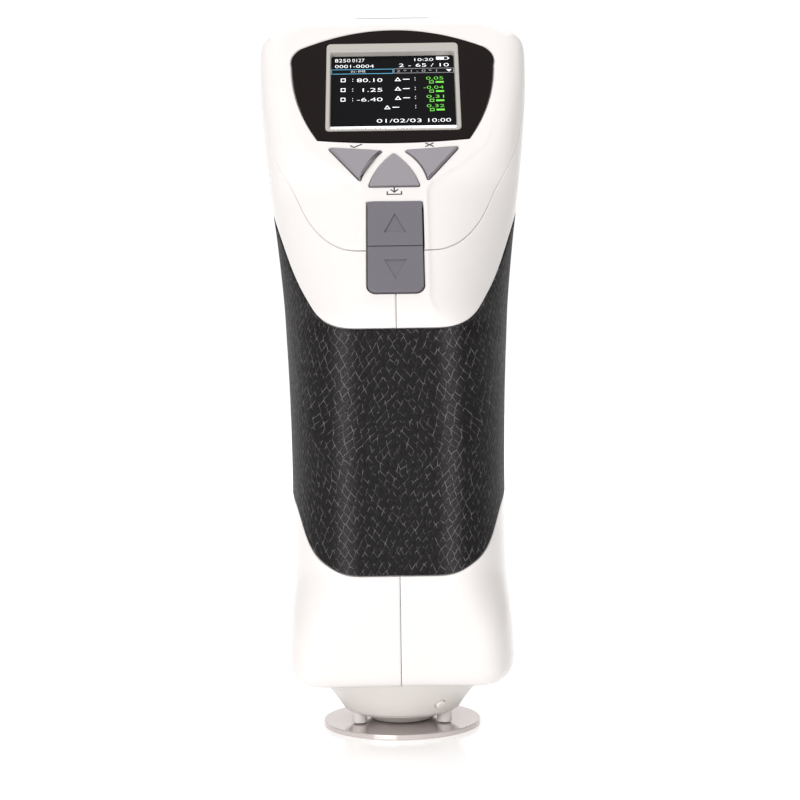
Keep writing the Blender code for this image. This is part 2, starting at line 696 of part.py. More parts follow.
def panel_outline():
    """The black panel: a sagging base, bowed sides and an arched top."""
    base = bowed((-PANEL_BASE_HALF, PANEL_BASE_UP), (PANEL_BASE_HALF, PANEL_BASE_UP), PANEL_BASE_SAG)
    side = bowed((PANEL_BASE_HALF, PANEL_BASE_UP), (PANEL_SIDE_HALF, PANEL_SIDE_UP), PANEL_SIDE_BULGE)
    drop = PANEL_TOP_RADIUS - math.sqrt(PANEL_TOP_RADIUS ** 2 - PANEL_SHOULDER_HALF ** 2)
    shoulder = (PANEL_SHOULDER_HALF, PANEL_APEX_UP - drop)
    corner = bowed((PANEL_SIDE_HALF, PANEL_SIDE_UP), shoulder, PANEL_BASE_SAG, 4)
    arch = bowed(shoulder, (-shoulder[0], shoulder[1]), drop, 12)
    left = [(-x, y) for x, y in reversed(side[1:] + corner)]
    return base + side + corner + arch + [(-shoulder[0], shoulder[1])] + left


def side_key_outline(sign):
    """A three sided key whose inner side is hollow, left of the middle for sign -1."""
    inner = (SIDE_KEY_INNER, SIDE_KEY_INNER_UP)
    point = (SIDE_KEY_POINT, SIDE_KEY_POINT_UP)
    outline = [(SIDE_KEY_OUTER, SIDE_KEY_OUTER_UP), inner]
    outline += bowed(inner, point, -SIDE_KEY_HOLLOW)[1:] + [point]
    return [(sign * x, y) for x, y in outline]


def save_key_outline():
    """The middle key: a triangle with bowed sides."""
    left, right = (-SAVE_HALF_WIDTH, SAVE_LOW_UP), (SAVE_HALF_WIDTH, SAVE_LOW_UP)
    apex = (0, SAVE_APEX_UP)
    return [left] + bowed(right, apex, SAVE_BULGE) + bowed(apex, left, SAVE_BULGE)


def key_outlines():
    """Every face key: its outline, its stem's place and its finish."""
    side_middle = ((SIDE_KEY_INNER + SIDE_KEY_OUTER + SIDE_KEY_POINT) / 3,
                   (SIDE_KEY_INNER_UP + SIDE_KEY_OUTER_UP + SIDE_KEY_POINT_UP) / 3)
    save_middle = (0, (2 * SAVE_LOW_UP + SAVE_APEX_UP) / 3)
    up_middle = (0, (ARROW_KEY_MIDDLE_UP + ARROW_KEY_HIGH_UP) / 2)
    down_middle = (0, (ARROW_KEY_MIDDLE_UP + ARROW_KEY_LOW_UP) / 2)
    up = rectangle(ARROW_KEY_HALF, ARROW_KEY_MIDDLE_UP + HALF_GAP, ARROW_KEY_HIGH_UP - GAP)
    down = tongue(ARROW_KEY_HALF, ARROW_KEY_LOW_UP + GAP, ARROW_KEY_MIDDLE_UP - HALF_GAP, ARROW_KEY_CORNER)
    return {
        "enter_key": (rounded(side_key_outline(-1), KEY_CORNER), (-side_middle[0], side_middle[1]), KEY_GREY),
        "cancel_key": (rounded(side_key_outline(1), KEY_CORNER), side_middle, KEY_GREY),
        "save_key": (rounded(save_key_outline(), KEY_CORNER), save_middle, KEY_GREY),
        "up_key": (up, up_middle, ARROW_GREY),
        "down_key": (down, down_middle, ARROW_GREY),
    }


def middle_gap_half(sign):
    """The half space on one side of the centre seam."""
    reach = HEAD_HALF_WIDTH + OVERRUN
    near, far = sorted((sign * HALF_GAP, sign * reach))
    return box((near, -CHIN_DEPTH - OVERRUN, BODY_BOTTOM - OVERRUN),
               (far, BACK_DEPTH + OVERRUN, BODY_TOP + OVERRUN))


def skin_depth(x, level):
    """How far back the body's skin is at a place on its back."""
    ring = [point for point in section(level, 0) if point[0] >= 0]
    back = ring[len(FACET_TURN_SHARES) + len(FRONT_TURN_SHARES) - 1:]
    back.sort(key=lambda point: point[0])
    return float(np.interp(abs(x), [point[0] for point in back], [point[1] for point in back]))


def arrow_opening():
    """The slot of the two arrow keys, in the face plane."""
    outline = tongue(ARROW_KEY_HALF + GAP, ARROW_KEY_LOW_UP, ARROW_KEY_HIGH_UP, ARROW_KEY_CORNER + GAP)
    return prism(outline, -WALL - OVERRUN, OVERRUN, FACE)


def screen_outline(border):
    """The screen module's outline with a border round it."""
    edge = SCREEN_BORDER + border
    return rectangle(RIM_HALF_WIDTH + edge, RIM_LOW_UP - edge, RIM_HIGH_UP + edge)


def rim_outline(spread):
    """The rim's rounded outer outline, grown by a spread."""
    corners = rectangle(RIM_HALF_WIDTH + spread, RIM_LOW_UP - spread, RIM_HIGH_UP + spread)
    return rounded(corners, RIM_CORNER + spread)


SCREEN_BACK = -(SCREEN_SINK + SCREEN_THICKNESS)
KEY_FLANGE_TOP = -(WALL + 2 * GAP)
KEY_STEM_END = KEY_FLANGE_TOP - KEY_FLANGE_THICKNESS - STEM_LENGTH
MAT_TOP = KEY_STEM_END - DOME_GAP - DOME_HEIGHT
KEY_BOARD_TOP = MAT_TOP - MAT_THICKNESS - GAP
STUD_ROOT = -(PANEL_THICKNESS + 2 * GAP)


def stud(x, up, end):
    """A stud on the inside of the front that a board rests on."""
    return rod(STUD_RADIUS, end, STUD_ROOT, (x, up), FACE)


def front_cover():
    """The white head cover with its panel recess, screen opening, key openings and studs."""
    item = body_solid()
    cut(item, body_solid(WALL, INNER_LEVEL_SHARES))
    cut(item, prism(grown(panel_outline(), GAP), -PANEL_THICKNESS - GAP, OVERRUN, FACE))
    cut(item, prism(screen_outline(GAP), -WALL - OVERRUN, -PANEL_THICKNESS, FACE))
    for name, (outline, _, _) in key_outlines().items():
        if name in ("enter_key", "cancel_key", "save_key"):
            cut(item, prism(grown(outline, GAP), -WALL - OVERRUN, OVERRUN, FACE))
    cut(item, arrow_opening())
    across = RIM_HALF_WIDTH + SCREEN_BORDER + BOARD_BORDER - STUD_RADIUS
    for sign in (-1, 1):
        for up in (RIM_LOW_UP - SCREEN_BORDER - STUD_RADIUS, RIM_HIGH_UP + SCREEN_BORDER + STUD_RADIUS):
            join(item, stud(sign * across, up, SCREEN_BACK))
        join(item, stud(sign * KEY_STUD_HALF, KEY_STUD_HIGH_UP, KEY_BOARD_TOP + GAP))
    trim(item, region_above_seam())
    return as_part(item, "front_cover", WHITE)


def cover_outline(spread):
    """The port cover's outline as seen from behind, grown by a spread."""
    half = COVER_HALF_HEIGHT + spread
    corners = [(x - SOCKET_SHIFT, y) for x, y in
               rectangle(COVER_HALF_WIDTH + spread, SOCKET_CENTRE - half, SOCKET_CENTRE + half)]
    return rounded(corners, COVER_CORNER + spread)


def socket_openings():
    """The recess of the port cover and the mouth for the socket behind it."""
    skin = skin_depth(SOCKET_SHIFT, SOCKET_CENTRE)
    across = SOCKET_HALF_WIDTH + GAP
    up = SOCKET_HALF_HEIGHT + GAP
    return [prism(cover_outline(GAP), skin - COVER_THICKNESS - GAP, skin + OVERRUN, BACK_VIEW),
            box((-SOCKET_SHIFT - across, SOCKET_CENTRE - up, skin - WALL - OVERRUN),
                (-SOCKET_SHIFT + across, SOCKET_CENTRE + up, skin), BACK_VIEW)]


def slider_openings():
    """The slot that the power switch's slider travels in."""
    skin = skin_depth(SWITCH_SHIFT, SWITCH_CENTRE)
    across = SLIDER_HALF_WIDTH + SWITCH_TRAVEL / 2 + GAP
    up = SLIDER_HALF_HEIGHT + GAP
    return [box((-SWITCH_SHIFT - across, SWITCH_CENTRE - up, skin - WALL - OVERRUN),
                (-SWITCH_SHIFT + across, SWITCH_CENTRE + up, skin + OVERRUN), BACK_VIEW)]


def test_outline(spread):
    """The test button's outline, grown by a spread."""
    corners = rectangle(TEST_HALF_WIDTH + spread, TEST_CENTRE - TEST_HALF_HEIGHT - spread,
                        TEST_CENTRE + TEST_HALF_HEIGHT + spread)
    return rounded(corners, TEST_CORNER + spread, 4)


def test_opening():
    """The test button's opening in the back."""
    return prism(test_outline(GAP), BACK_DEPTH - WALL - OVERRUN, BACK_DEPTH + OVERRUN, BACK_VIEW)


def body_shell(name, sign):
    """One half of the body below the front cover, with its screw bosses."""
    item = body_solid()
    cut(item, body_solid(WALL, INNER_LEVEL_SHARES))
    cut(item, arrow_opening())
    cut(item, test_opening())
    reach = sign * HEAD_HALF_WIDTH
    for place in SCREW_PLACES:
        boss = rod(BOSS_RADIUS, *sorted((0, reach)), place, SIDE_VIEW)
        trim(boss, body_solid(LEATHER_THICKNESS + 2 * GAP))
        join(item, boss)
    join(item, stud(sign * KEY_STUD_HALF, KEY_STUD_LOW_UP, KEY_BOARD_TOP + GAP))
    cut(item, leather_layer(LEATHER_THICKNESS + GAP, OVERRUN, 0))
    trim(item, region_below_seam())
    trim(item, middle_gap_half(sign))
    for place in SCREW_PLACES:
        if sign < 0:
            cut(item, rod(SCREW_RADIUS + GAP, -SCREW_SEAT - OVERRUN, OVERRUN, place, SIDE_VIEW))
            cut(item, rod(SCREW_HEAD_RADIUS + GAP, -HEAD_HALF_WIDTH, -SCREW_SEAT, place, SIDE_VIEW))
        else:
            cut(item, rod(SCREW_RADIUS + GAP, -OVERRUN, SCREW_LENGTH - SCREW_SEAT + GAP, place, SIDE_VIEW))
    cut(item, *(socket_openings() if sign < 0 else slider_openings()))
    cut(item, rod(NECK_RADIUS + GAP, BODY_BOTTOM - OVERRUN, BODY_BOTTOM + WALL + GAP, (0, 0),
                  sides=ROUND_SIDES))
    return as_part(item, name, WHITE)


def leather_grip():
    """The leather sleeve round the grip."""
    return as_part(leather_layer(LEATHER_THICKNESS, LEATHER_PROUD, -GAP), "leather_grip", LEATHER)


def shell_screw(name, place):
    """A screw that draws the two shells together, with a crossed head."""
    item = rod(SCREW_RADIUS, -SCREW_SEAT - GAP, SCREW_LENGTH - SCREW_SEAT - GAP, place, SIDE_VIEW)
    head = rod(SCREW_HEAD_RADIUS, -SCREW_SEAT - GAP - SCREW_HEAD_HEIGHT, -SCREW_SEAT - GAP, place, SIDE_VIEW)
    join(item, head)
    top = -SCREW_SEAT - GAP - SCREW_HEAD_HEIGHT
    slot_half = SCREW_RADIUS / 4
    for across, along in ((SCREW_RADIUS, slot_half), (slot_half, SCREW_RADIUS)):
        cut(item, box((place[0] - across, place[1] - along, top - OVERRUN),
                      (place[0] + across, place[1] + along, top + SCREW_HEAD_HEIGHT / 2), SIDE_VIEW))
    return as_part(item, name, STEEL)


def display_parts():
    """Panel, rim, screen and the board behind it."""
    panel = prism(panel_outline(), -PANEL_THICKNESS, 0, FACE)
    cut(panel, prism(rim_outline(GAP), -OVERRUN, OVERRUN, FACE))
    as_part(panel, "display_panel", PANEL_BLACK)
    rim = prism(rim_outline(0), -SCREEN_SINK + GAP, RIM_PROUD, FACE)
    window = rounded([(-RIM_HALF_WIDTH + RIM_SIDE, RIM_LOW_UP + RIM_FOOT),
                      (RIM_HALF_WIDTH - RIM_SIDE, RIM_LOW_UP + RIM_FOOT),
                      (RIM_HALF_WIDTH - RIM_SIDE, RIM_HIGH_UP - RIM_TOP),
                      (-RIM_HALF_WIDTH + RIM_SIDE, RIM_HIGH_UP - RIM_TOP)], RIM_FOOT)
    cut(rim, prism(window, -OVERRUN, OVERRUN, FACE))
    as_part(rim, "display_rim", RIM_GREY)
    screen = prism(screen_outline(0), SCREEN_BACK, -SCREEN_SINK, FACE)
    as_part(screen, "lcd_module", SCREEN_BLACK)
    board_top = SCREEN_BACK - GAP
    board = prism(screen_outline(BOARD_BORDER - SCREEN_BORDER / 2), board_top - BOARD_THICKNESS,
                  board_top, FACE)
    as_part(board, "display_board", BOARD_GREEN)


def face_keys():
    """The five keys, each with a flange that holds it in and a stem that presses its dome."""
    for name, (outline, middle, finish) in key_outlines().items():
        item = prism(outline, KEY_FLANGE_TOP - KEY_FLANGE_THICKNESS / 2, KEY_PROUD, FACE)
        if finish is KEY_GREY:
            flange = grown(outline, KEY_FLANGE)
        else:
            upward = 1 if name == "up_key" else -1
            edges = sorted((ARROW_KEY_MIDDLE_UP + upward * GAP,
                            (ARROW_KEY_HIGH_UP if upward > 0 else ARROW_KEY_LOW_UP) + upward * KEY_FLANGE))
            flange = rectangle(ARROW_KEY_HALF + KEY_FLANGE, *edges)
            height = upward * ARROW_HEIGHT / 2
            arrow = [(-ARROW_HALF_WIDTH, middle[1] - height), (ARROW_HALF_WIDTH, middle[1] - height),
                     (0, middle[1] + height)]
            cut(item, prism(arrow, KEY_PROUD - ARROW_DEPTH, KEY_PROUD + OVERRUN, FACE))
        join(item, prism(flange, KEY_FLANGE_TOP - KEY_FLANGE_THICKNESS, KEY_FLANGE_TOP, FACE))
        join(item, rod(STEM_RADIUS, KEY_STEM_END, KEY_FLANGE_TOP - KEY_FLANGE_THICKNESS / 2, middle, FACE))
        pivoted(as_part(item, name, finish), FACE @ Vector((*middle, 0)))


def stepped_outline(half_width, step_up):
    """A strip behind the arrow keys that widens behind the three upper keys."""
    right = [(half_width, KEY_BOARD_LOW_UP), (half_width, step_up),
             (KEY_BOARD_WIDE_HALF, step_up + SHOULDER_RISE), (KEY_BOARD_WIDE_HALF, KEY_BOARD_HIGH_UP)]
    return right + [(-x, y) for x, y in reversed(right)]


def key_boards():
    """The rubber key mat with a dome under each key, and the circuit board under the mat."""
    mat_outline = stepped_outline(KEY_STUD_HALF - STUD_RADIUS - GAP, KEY_STUD_HIGH_UP + STUD_RADIUS + GAP)
    mat = prism(mat_outline, MAT_TOP - MAT_THICKNESS, MAT_TOP, FACE)
    for _, middle, _ in key_outlines().values():
        join(mat, rod(DOME_RADIUS, MAT_TOP - MAT_THICKNESS / 2, MAT_TOP + DOME_HEIGHT, middle, FACE))
    as_part(mat, "key_mat", RUBBER)
    board_outline = stepped_outline(KEY_BOARD_HALF, KEY_BOARD_STEP_UP)
    board = prism(board_outline, KEY_BOARD_TOP - BOARD_THICKNESS, KEY_BOARD_TOP, FACE)
    as_part(board, "key_board", BOARD_GREEN)


def grip_parts():
    """Chassis plate, main board with its large pieces, and the battery in its cradle."""
    across = HEAD_HALF_WIDTH
    chassis = box((-across, CHASSIS_FRONT, CHASSIS_LOW),
                  (across, CHASSIS_FRONT + CHASSIS_THICKNESS, CHASSIS_HIGH))
    trim(chassis, body_solid(WALL + GAP, INNER_LEVEL_SHARES))
    as_part(chassis, "chassis", CHASSIS_GREY)
    board_back = CHASSIS_FRONT - GAP
    board_front = board_back - BOARD_THICKNESS
    board = box((-MAIN_BOARD_HALF, board_front, MAIN_BOARD_LOW),
                (MAIN_BOARD_HALF, board_back, MAIN_BOARD_HIGH))
    as_part(board, "main_board", BOARD_GREEN)
    shield = box((-SHIELD_HALF, board_front - GAP - SHIELD_THICKNESS, SHIELD_CENTRE - SHIELD_HALF),
                 (SHIELD_HALF, board_front - GAP, SHIELD_CENTRE + SHIELD_HALF), bevel=GAP)
    as_part(shield, "processor_shield", STEEL)
    buzzer = rod(BUZZER_RADIUS, board_front - GAP - BUZZER_HEIGHT, board_front - GAP,
                 (-BUZZER_SHIFT, BUZZER_CENTRE), BACK_VIEW, ROUND_SIDES)
    as_part(buzzer, "buzzer", PANEL_BLACK)
    hollow = CELL_RADIUS + GAP
    outer = hollow + CRADLE_WALL
    middle = CHASSIS_FRONT + CHASSIS_THICKNESS + GAP + outer
    inner_low = CELL_LOW - 2 * GAP - CONTACT_THICKNESS
    inner_high = CELL_LOW + CELL_LENGTH + 2 * GAP + CONTACT_THICKNESS
    cradle = rod(outer, inner_low - CRADLE_END, inner_high + CRADLE_END, (0, middle), sides=ROUND_SIDES)
    cut(cradle, rod(hollow, inner_low, inner_high, (0, middle), sides=ROUND_SIDES))
    cut(cradle, box((-outer - OVERRUN, middle, inner_low - CRADLE_END - OVERRUN),
                    (outer + OVERRUN, middle + outer + OVERRUN, inner_high + CRADLE_END + OVERRUN)))
    as_part(cradle, "battery_cradle", CHASSIS_GREY)
    cell = rod(CELL_RADIUS, CELL_LOW, CELL_LOW + CELL_LENGTH, (0, middle), sides=ROUND_SIDES)
    as_part(cell, "battery_cell", CELL_BLUE)
    for name, low in (("battery_contact_low", inner_low + GAP),
                      ("battery_contact_high", inner_high - GAP - CONTACT_THICKNESS)):
        contact = box((-CONTACT_HALF, middle - CONTACT_HALF, low),
                      (CONTACT_HALF, middle, low + CONTACT_THICKNESS))
        as_part(contact, name, STEEL)


def sphere_arc(radius, low_angle, high_angle, sign):
    """Points of a half of the sphere, from near its equator towards its pole."""
    points = []
    for step in range(SPHERE_ARC_STEPS + 1):
        angle = low_angle + (high_angle - low_angle) * step / SPHERE_ARC_STEPS
        points.append((radius * math.cos(angle), SPHERE_CENTRE + sign * radius * math.sin(angle)))
    return points


def optics():
    """The white sphere in two halves on its deck, with lamp board, lens barrel and sensor board."""
    inner = SPHERE_RADIUS - SPHERE_WALL
    flange_far = HALF_GAP + SPHERE_FLANGE_THICKNESS
    start = math.asin(flange_far / SPHERE_RADIUS)
    inner_start = math.asin(HALF_GAP / inner)
    port = APERTURE_RADIUS
    lower = [(SPHERE_FLANGE, SPHERE_CENTRE - HALF_GAP), (SPHERE_FLANGE, SPHERE_CENTRE - flange_far)]
    lower += sphere_arc(SPHERE_RADIUS, start, math.acos(port / SPHERE_RADIUS), -1)
    lower += reversed(sphere_arc(inner, inner_start, math.acos(port / inner), -1))
    as_part(turned(lower), "sphere_lower", SPHERE_WHITE)
    top = SPHERE_CENTRE + COLLAR_HEIGHT
    upper = [(COLLAR_RADIUS, top)]
    upper += reversed(sphere_arc(SPHERE_RADIUS, start, math.acos(COLLAR_RADIUS / SPHERE_RADIUS), 1))
    upper += [(SPHERE_FLANGE, SPHERE_CENTRE + flange_far), (SPHERE_FLANGE, SPHERE_CENTRE + HALF_GAP)]
    upper += sphere_arc(inner, inner_start, math.acos(DETECTOR_HOLE / inner), 1)
    upper += [(DETECTOR_HOLE, top)]
    item = turned(upper)
    board_low = top + GAP
    board = turned([(LAMP_BOARD_RADIUS, board_low + BOARD_THICKNESS), (LAMP_BOARD_RADIUS, board_low),
                    (BARREL_RADIUS + GAP, board_low), (BARREL_RADIUS + GAP, board_low + BOARD_THICKNESS)])
    for lamp in range(LAMP_COUNT):
        angle = math.tau * lamp / LAMP_COUNT
        place = (LAMP_CIRCLE_RADIUS * math.cos(angle), LAMP_CIRCLE_RADIUS * math.sin(angle))
        cut(item, rod(LAMP_RADIUS + GAP, SPHERE_CENTRE + COLLAR_HEIGHT / 2, top + OVERRUN, place, sides=8))
        lamp = rod(LAMP_RADIUS, board_low - LAMP_HEIGHT, board_low + BOARD_THICKNESS / 2, place, sides=8)
        join(board, lamp)
    as_part(item, "sphere_upper", SPHERE_WHITE)
    as_part(board, "lamp_board", BOARD_GREEN)
    deck_top = SPHERE_CENTRE - flange_far - GAP
    deck = box((-HEAD_HALF_WIDTH, -CHIN_DEPTH, deck_top - DECK_THICKNESS),
               (HEAD_HALF_WIDTH, BACK_DEPTH, deck_top))
    trim(deck, body_solid(WALL + GAP, INNER_LEVEL_SHARES))
    cut(deck, rod(SPHERE_RADIUS + GAP, deck_top - DECK_THICKNESS - OVERRUN, deck_top + OVERRUN, (0, 0),
                  sides=ROUND_SIDES))
    as_part(deck, "optics_deck", CHASSIS_GREY)
    flange_low = board_low + BOARD_THICKNESS + GAP
    barrel_top = board_low + BARREL_HEIGHT
    bore = BARREL_RADIUS - BARREL_WALL
    barrel = [(BARREL_RADIUS, barrel_top), (BARREL_RADIUS, flange_low + BARREL_FLANGE_THICKNESS),
              (BARREL_FLANGE, flange_low + BARREL_FLANGE_THICKNESS), (BARREL_FLANGE, flange_low),
              (BARREL_RADIUS, flange_low), (BARREL_RADIUS, board_low), (bore, board_low), (bore, barrel_top)]
    as_part(turned(barrel, SMALL_SIDES), "lens_barrel", PANEL_BLACK)
    lens_edge = bore - GAP
    middle = board_low + LENS_RISE
    half = LENS_THICKNESS / 2
    lens = [(0, middle + half), (lens_edge / 2, middle + half * 0.85), (lens_edge, middle + half * 0.4),
            (lens_edge, middle - half * 0.4), (lens_edge / 2, middle - half * 0.85), (0, middle - half)]
    as_part(turned(lens, SMALL_SIDES), "lens", GLASS)
    sensor_low = barrel_top + GAP
    sensor = box((-SENSOR_BOARD_HALF, -SENSOR_BOARD_HALF, sensor_low),
                 (SENSOR_BOARD_HALF, SENSOR_BOARD_HALF, sensor_low + BOARD_THICKNESS))
    as_part(sensor, "sensor_board", BOARD_GREEN)


def sector(inner, outer, middle_angle, width):
    """Outline of a part of a ring."""
    steps = 4
    turns = [middle_angle + width * (step / steps - 0.5) for step in range(steps + 1)]
    return ([(outer * math.cos(turn), outer * math.sin(turn)) for turn in turns]
            + [(inner * math.cos(turn), inner * math.sin(turn)) for turn in reversed(turns)])


def nose():
    """Bowl with its neck and lugs, bayonet ring, port tube, plate, posts and alignment dot."""
    plate_top = PLATE_THICKNESS
    foot = plate_top + GAP
    edge = plate_top + BOWL_EDGE_RISE
    bowl_top = BODY_BOTTOM - GAP
    neck_top = BODY_BOTTOM + NECK_HEIGHT
    neck_bore = NECK_RADIUS - NECK_WALL
    tube_hole = TUBE_RADIUS + GAP
    floor = foot + BOWL_WALL + GAP
    profile = [(NECK_RADIUS, neck_top), (NECK_RADIUS, bowl_top)]
    profile += bowed((BOWL_TOP_RADIUS, bowl_top), (BOWL_EDGE_RADIUS, edge), -GAP, 4)
    profile += bowed((BOWL_EDGE_RADIUS, edge), (BOWL_FOOT_RADIUS, foot), -GAP, 3)
    profile += [(BOWL_FOOT_RADIUS, foot), (tube_hole, foot), (tube_hole, floor),
                (neck_bore, floor + POST_HEIGHT), (neck_bore, neck_top)]
    bowl = turned(profile, NOSE_SIDES)
    ring_low = BODY_BOTTOM + WALL + GAP
    lug_low = ring_low + BAYONET_HEIGHT + GAP
    ring = turned([(BAYONET_RADIUS, lug_low - GAP), (BAYONET_RADIUS, ring_low),
                   (NECK_RADIUS + GAP, ring_low), (NECK_RADIUS + GAP, lug_low - GAP)])
    for lug in range(LUG_COUNT):
        turn = math.tau * lug / LUG_COUNT + math.pi / 2
        wing = sector(NECK_RADIUS - NECK_WALL / 2, NECK_RADIUS + LUG_REACH, turn, LUG_ANGLE)
        join(bowl, prism(wing, lug_low, lug_low + LUG_HEIGHT))
        notch = sector(NECK_RADIUS - GAP, NECK_RADIUS + LUG_REACH + GAP, turn + TWIST_ANGLE, NOTCH_ANGLE)
        cut(ring, prism(notch, ring_low - OVERRUN, lug_low + OVERRUN))
    as_part(ring, "bayonet_ring", CHASSIS_GREY)
    post_top = foot + POST_HEIGHT
    for post in range(POST_COUNT):
        turn = math.tau * post / POST_COUNT + math.pi / 2
        place = (POST_CIRCLE_RADIUS * math.cos(turn), POST_CIRCLE_RADIUS * math.sin(turn))
        cut(bowl, rod(POST_RADIUS + GAP, 0, post_top + GAP, place))
        as_part(rod(POST_RADIUS, foot, post_top, place), "plate_post_%d" % (post + 1), NOSE_WHITE)
    dot_height = plate_top + DOT_RISE
    share = (dot_height - edge) / (bowl_top - edge)
    dot_radius = BOWL_EDGE_RADIUS + (BOWL_TOP_RADIUS - BOWL_EDGE_RADIUS) * share
    lean = math.atan2(BOWL_TOP_RADIUS - BOWL_EDGE_RADIUS, bowl_top - edge)
    dot_frame = (Matrix.Rotation(DOT_TURN, 4, "Z") @ Matrix.Translation((0, -dot_radius, dot_height))
                 @ Matrix.Rotation(math.pi / 2 + lean, 4, "X"))
    cut(bowl, rod(DOT_RADIUS + GAP, -DOT_DEPTH, OVERRUN, (0, 0), dot_frame, 12))
    as_part(rod(DOT_RADIUS, GAP - DOT_DEPTH, DOT_HEIGHT, (0, 0), dot_frame, 12), "alignment_dot", NOSE_WHITE)
    as_part(bowl, "nose_bowl", NOSE_WHITE)
    tube_top = SPHERE_CENTRE - math.sqrt(SPHERE_RADIUS ** 2 - TUBE_RADIUS ** 2) - GAP
    bore = TUBE_RADIUS - TUBE_WALL
    as_part(turned([(TUBE_RADIUS, tube_top), (TUBE_RADIUS, foot), (bore, foot), (bore, tube_top)]),
            "port_tube", PANEL_BLACK)
    rim = PLATE_RADIUS - PLATE_CHAMFER
    plate = [(rim, plate_top), (PLATE_RADIUS, plate_top - PLATE_CHAMFER), (PLATE_RADIUS, PLATE_CHAMFER),
             (rim, 0), (APERTURE_RADIUS, 0), (APERTURE_RADIUS, plate_top)]
    as_part(turned(plate, NOSE_SIDES), "locating_plate", PLATE_METAL)


def back_parts():
    """Rear board with its socket and switches, test button, slider and port cover."""
    board = box((-HEAD_HALF_WIDTH, REAR_BOARD_FRONT, REAR_BOARD_LOW),
                (HEAD_HALF_WIDTH, REAR_BOARD_FRONT + BOARD_THICKNESS, REAR_BOARD_HIGH))
    trim(board, body_solid(WALL + GAP, INNER_LEVEL_SHARES))
    as_part(board, "rear_board", BOARD_GREEN)
    seat = REAR_BOARD_FRONT + BOARD_THICKNESS + GAP
    tact_top = seat + TACT_HEIGHT
    tact = box((-TACT_HALF, TEST_CENTRE - TACT_HALF, seat),
               (TACT_HALF, TEST_CENTRE + TACT_HALF, tact_top), BACK_VIEW)
    as_part(tact, "test_switch", PANEL_BLACK)
    flange_top = BACK_DEPTH - WALL - 2 * GAP
    flange_low = flange_top - TEST_FLANGE_THICKNESS
    button = prism(test_outline(0), flange_low + TEST_FLANGE_THICKNESS / 2,
                   BACK_DEPTH + TEST_PROUD, BACK_VIEW)
    join(button, prism(test_outline(TEST_FLANGE), flange_low, flange_top, BACK_VIEW))
    join(button, rod(STEM_RADIUS, tact_top + GAP + TEST_TRAVEL, flange_low + TEST_FLANGE_THICKNESS / 2,
                     (0, TEST_CENTRE), BACK_VIEW))
    pivoted(as_part(button, "test_button", KEY_GREY), (0, BACK_DEPTH, TEST_CENTRE))
    skin = skin_depth(SOCKET_SHIFT, SOCKET_CENTRE)
    plug_end = skin - COVER_THICKNESS - COVER_PLUG_LENGTH
    across, up = SOCKET_HALF_WIDTH, SOCKET_HALF_HEIGHT
    socket = box((-SOCKET_SHIFT - across, SOCKET_CENTRE - up, seat),
                 (-SOCKET_SHIFT + across, SOCKET_CENTRE + up, plug_end - GAP), BACK_VIEW)
    across, up = across - SOCKET_WALL, up - SOCKET_WALL
    cut(socket, box((-SOCKET_SHIFT - across, SOCKET_CENTRE - up, seat + SOCKET_BACK),
                    (-SOCKET_SHIFT + across, SOCKET_CENTRE + up, skin), BACK_VIEW))
    as_part(socket, "usb_socket", STEEL)
    cover = prism(cover_outline(0), skin - COVER_THICKNESS, skin, BACK_VIEW)
    across, up = SOCKET_HALF_WIDTH - COVER_PLUG_EASE, SOCKET_HALF_HEIGHT - COVER_PLUG_EASE / 2
    join(cover, box((-SOCKET_SHIFT - across, SOCKET_CENTRE - up, plug_end),
                    (-SOCKET_SHIFT + across, SOCKET_CENTRE + up, skin - COVER_THICKNESS / 2), BACK_VIEW))
    hinge = SOCKET_SHIFT - COVER_HALF_WIDTH - HALF_GAP
    pivoted(as_part(cover, "port_cover", RUBBER), (hinge, skin, SOCKET_CENTRE))
    slider_skin = skin_depth(SWITCH_SHIFT, SWITCH_CENTRE)
    foot_top = slider_skin - WALL - 2 * GAP
    foot_low = foot_top - SLIDER_FOOT_THICKNESS
    middle = -SWITCH_SHIFT + SWITCH_TRAVEL / 2
    across, up = SLIDER_HALF_WIDTH, SLIDER_HALF_HEIGHT
    slider = box((middle - across, SWITCH_CENTRE - up, foot_low),
                 (middle + across, SWITCH_CENTRE + up, slider_skin + SLIDER_PROUD), BACK_VIEW)
    across, up = across + SLIDER_FOOT, up + SLIDER_FOOT
    join(slider, box((middle - across, SWITCH_CENTRE - up, foot_low),
                     (middle + across, SWITCH_CENTRE + up, foot_top), BACK_VIEW))
    pivoted(as_part(slider, "power_switch", PANEL_BLACK), (-middle, slider_skin, SWITCH_CENTRE))
    switch = box((-SWITCH_SHIFT - SWITCH_HALF_WIDTH, SWITCH_CENTRE - SWITCH_HALF_HEIGHT, seat),
                 (-SWITCH_SHIFT + SWITCH_HALF_WIDTH, SWITCH_CENTRE + SWITCH_HALF_HEIGHT, foot_low - GAP),
                 BACK_VIEW)
    as_part(switch, "power_switch_body", STEEL)


front_cover()
body_shell("left_shell", -1)
body_shell("right_shell", 1)
leather_grip()
for number, screw_place in enumerate(SCREW_PLACES):
    shell_screw("shell_screw_%d" % (number + 1), screw_place)
display_parts()
face_keys()
key_boards()
grip_parts()
optics()
nose()
back_parts()
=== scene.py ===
"""Looks of the handheld colorimeter: shells, leather, display, keys, nose, materials, light and camera."""
import math

import bmesh
import bpy
import numpy as np
from mathutils import Matrix, Vector


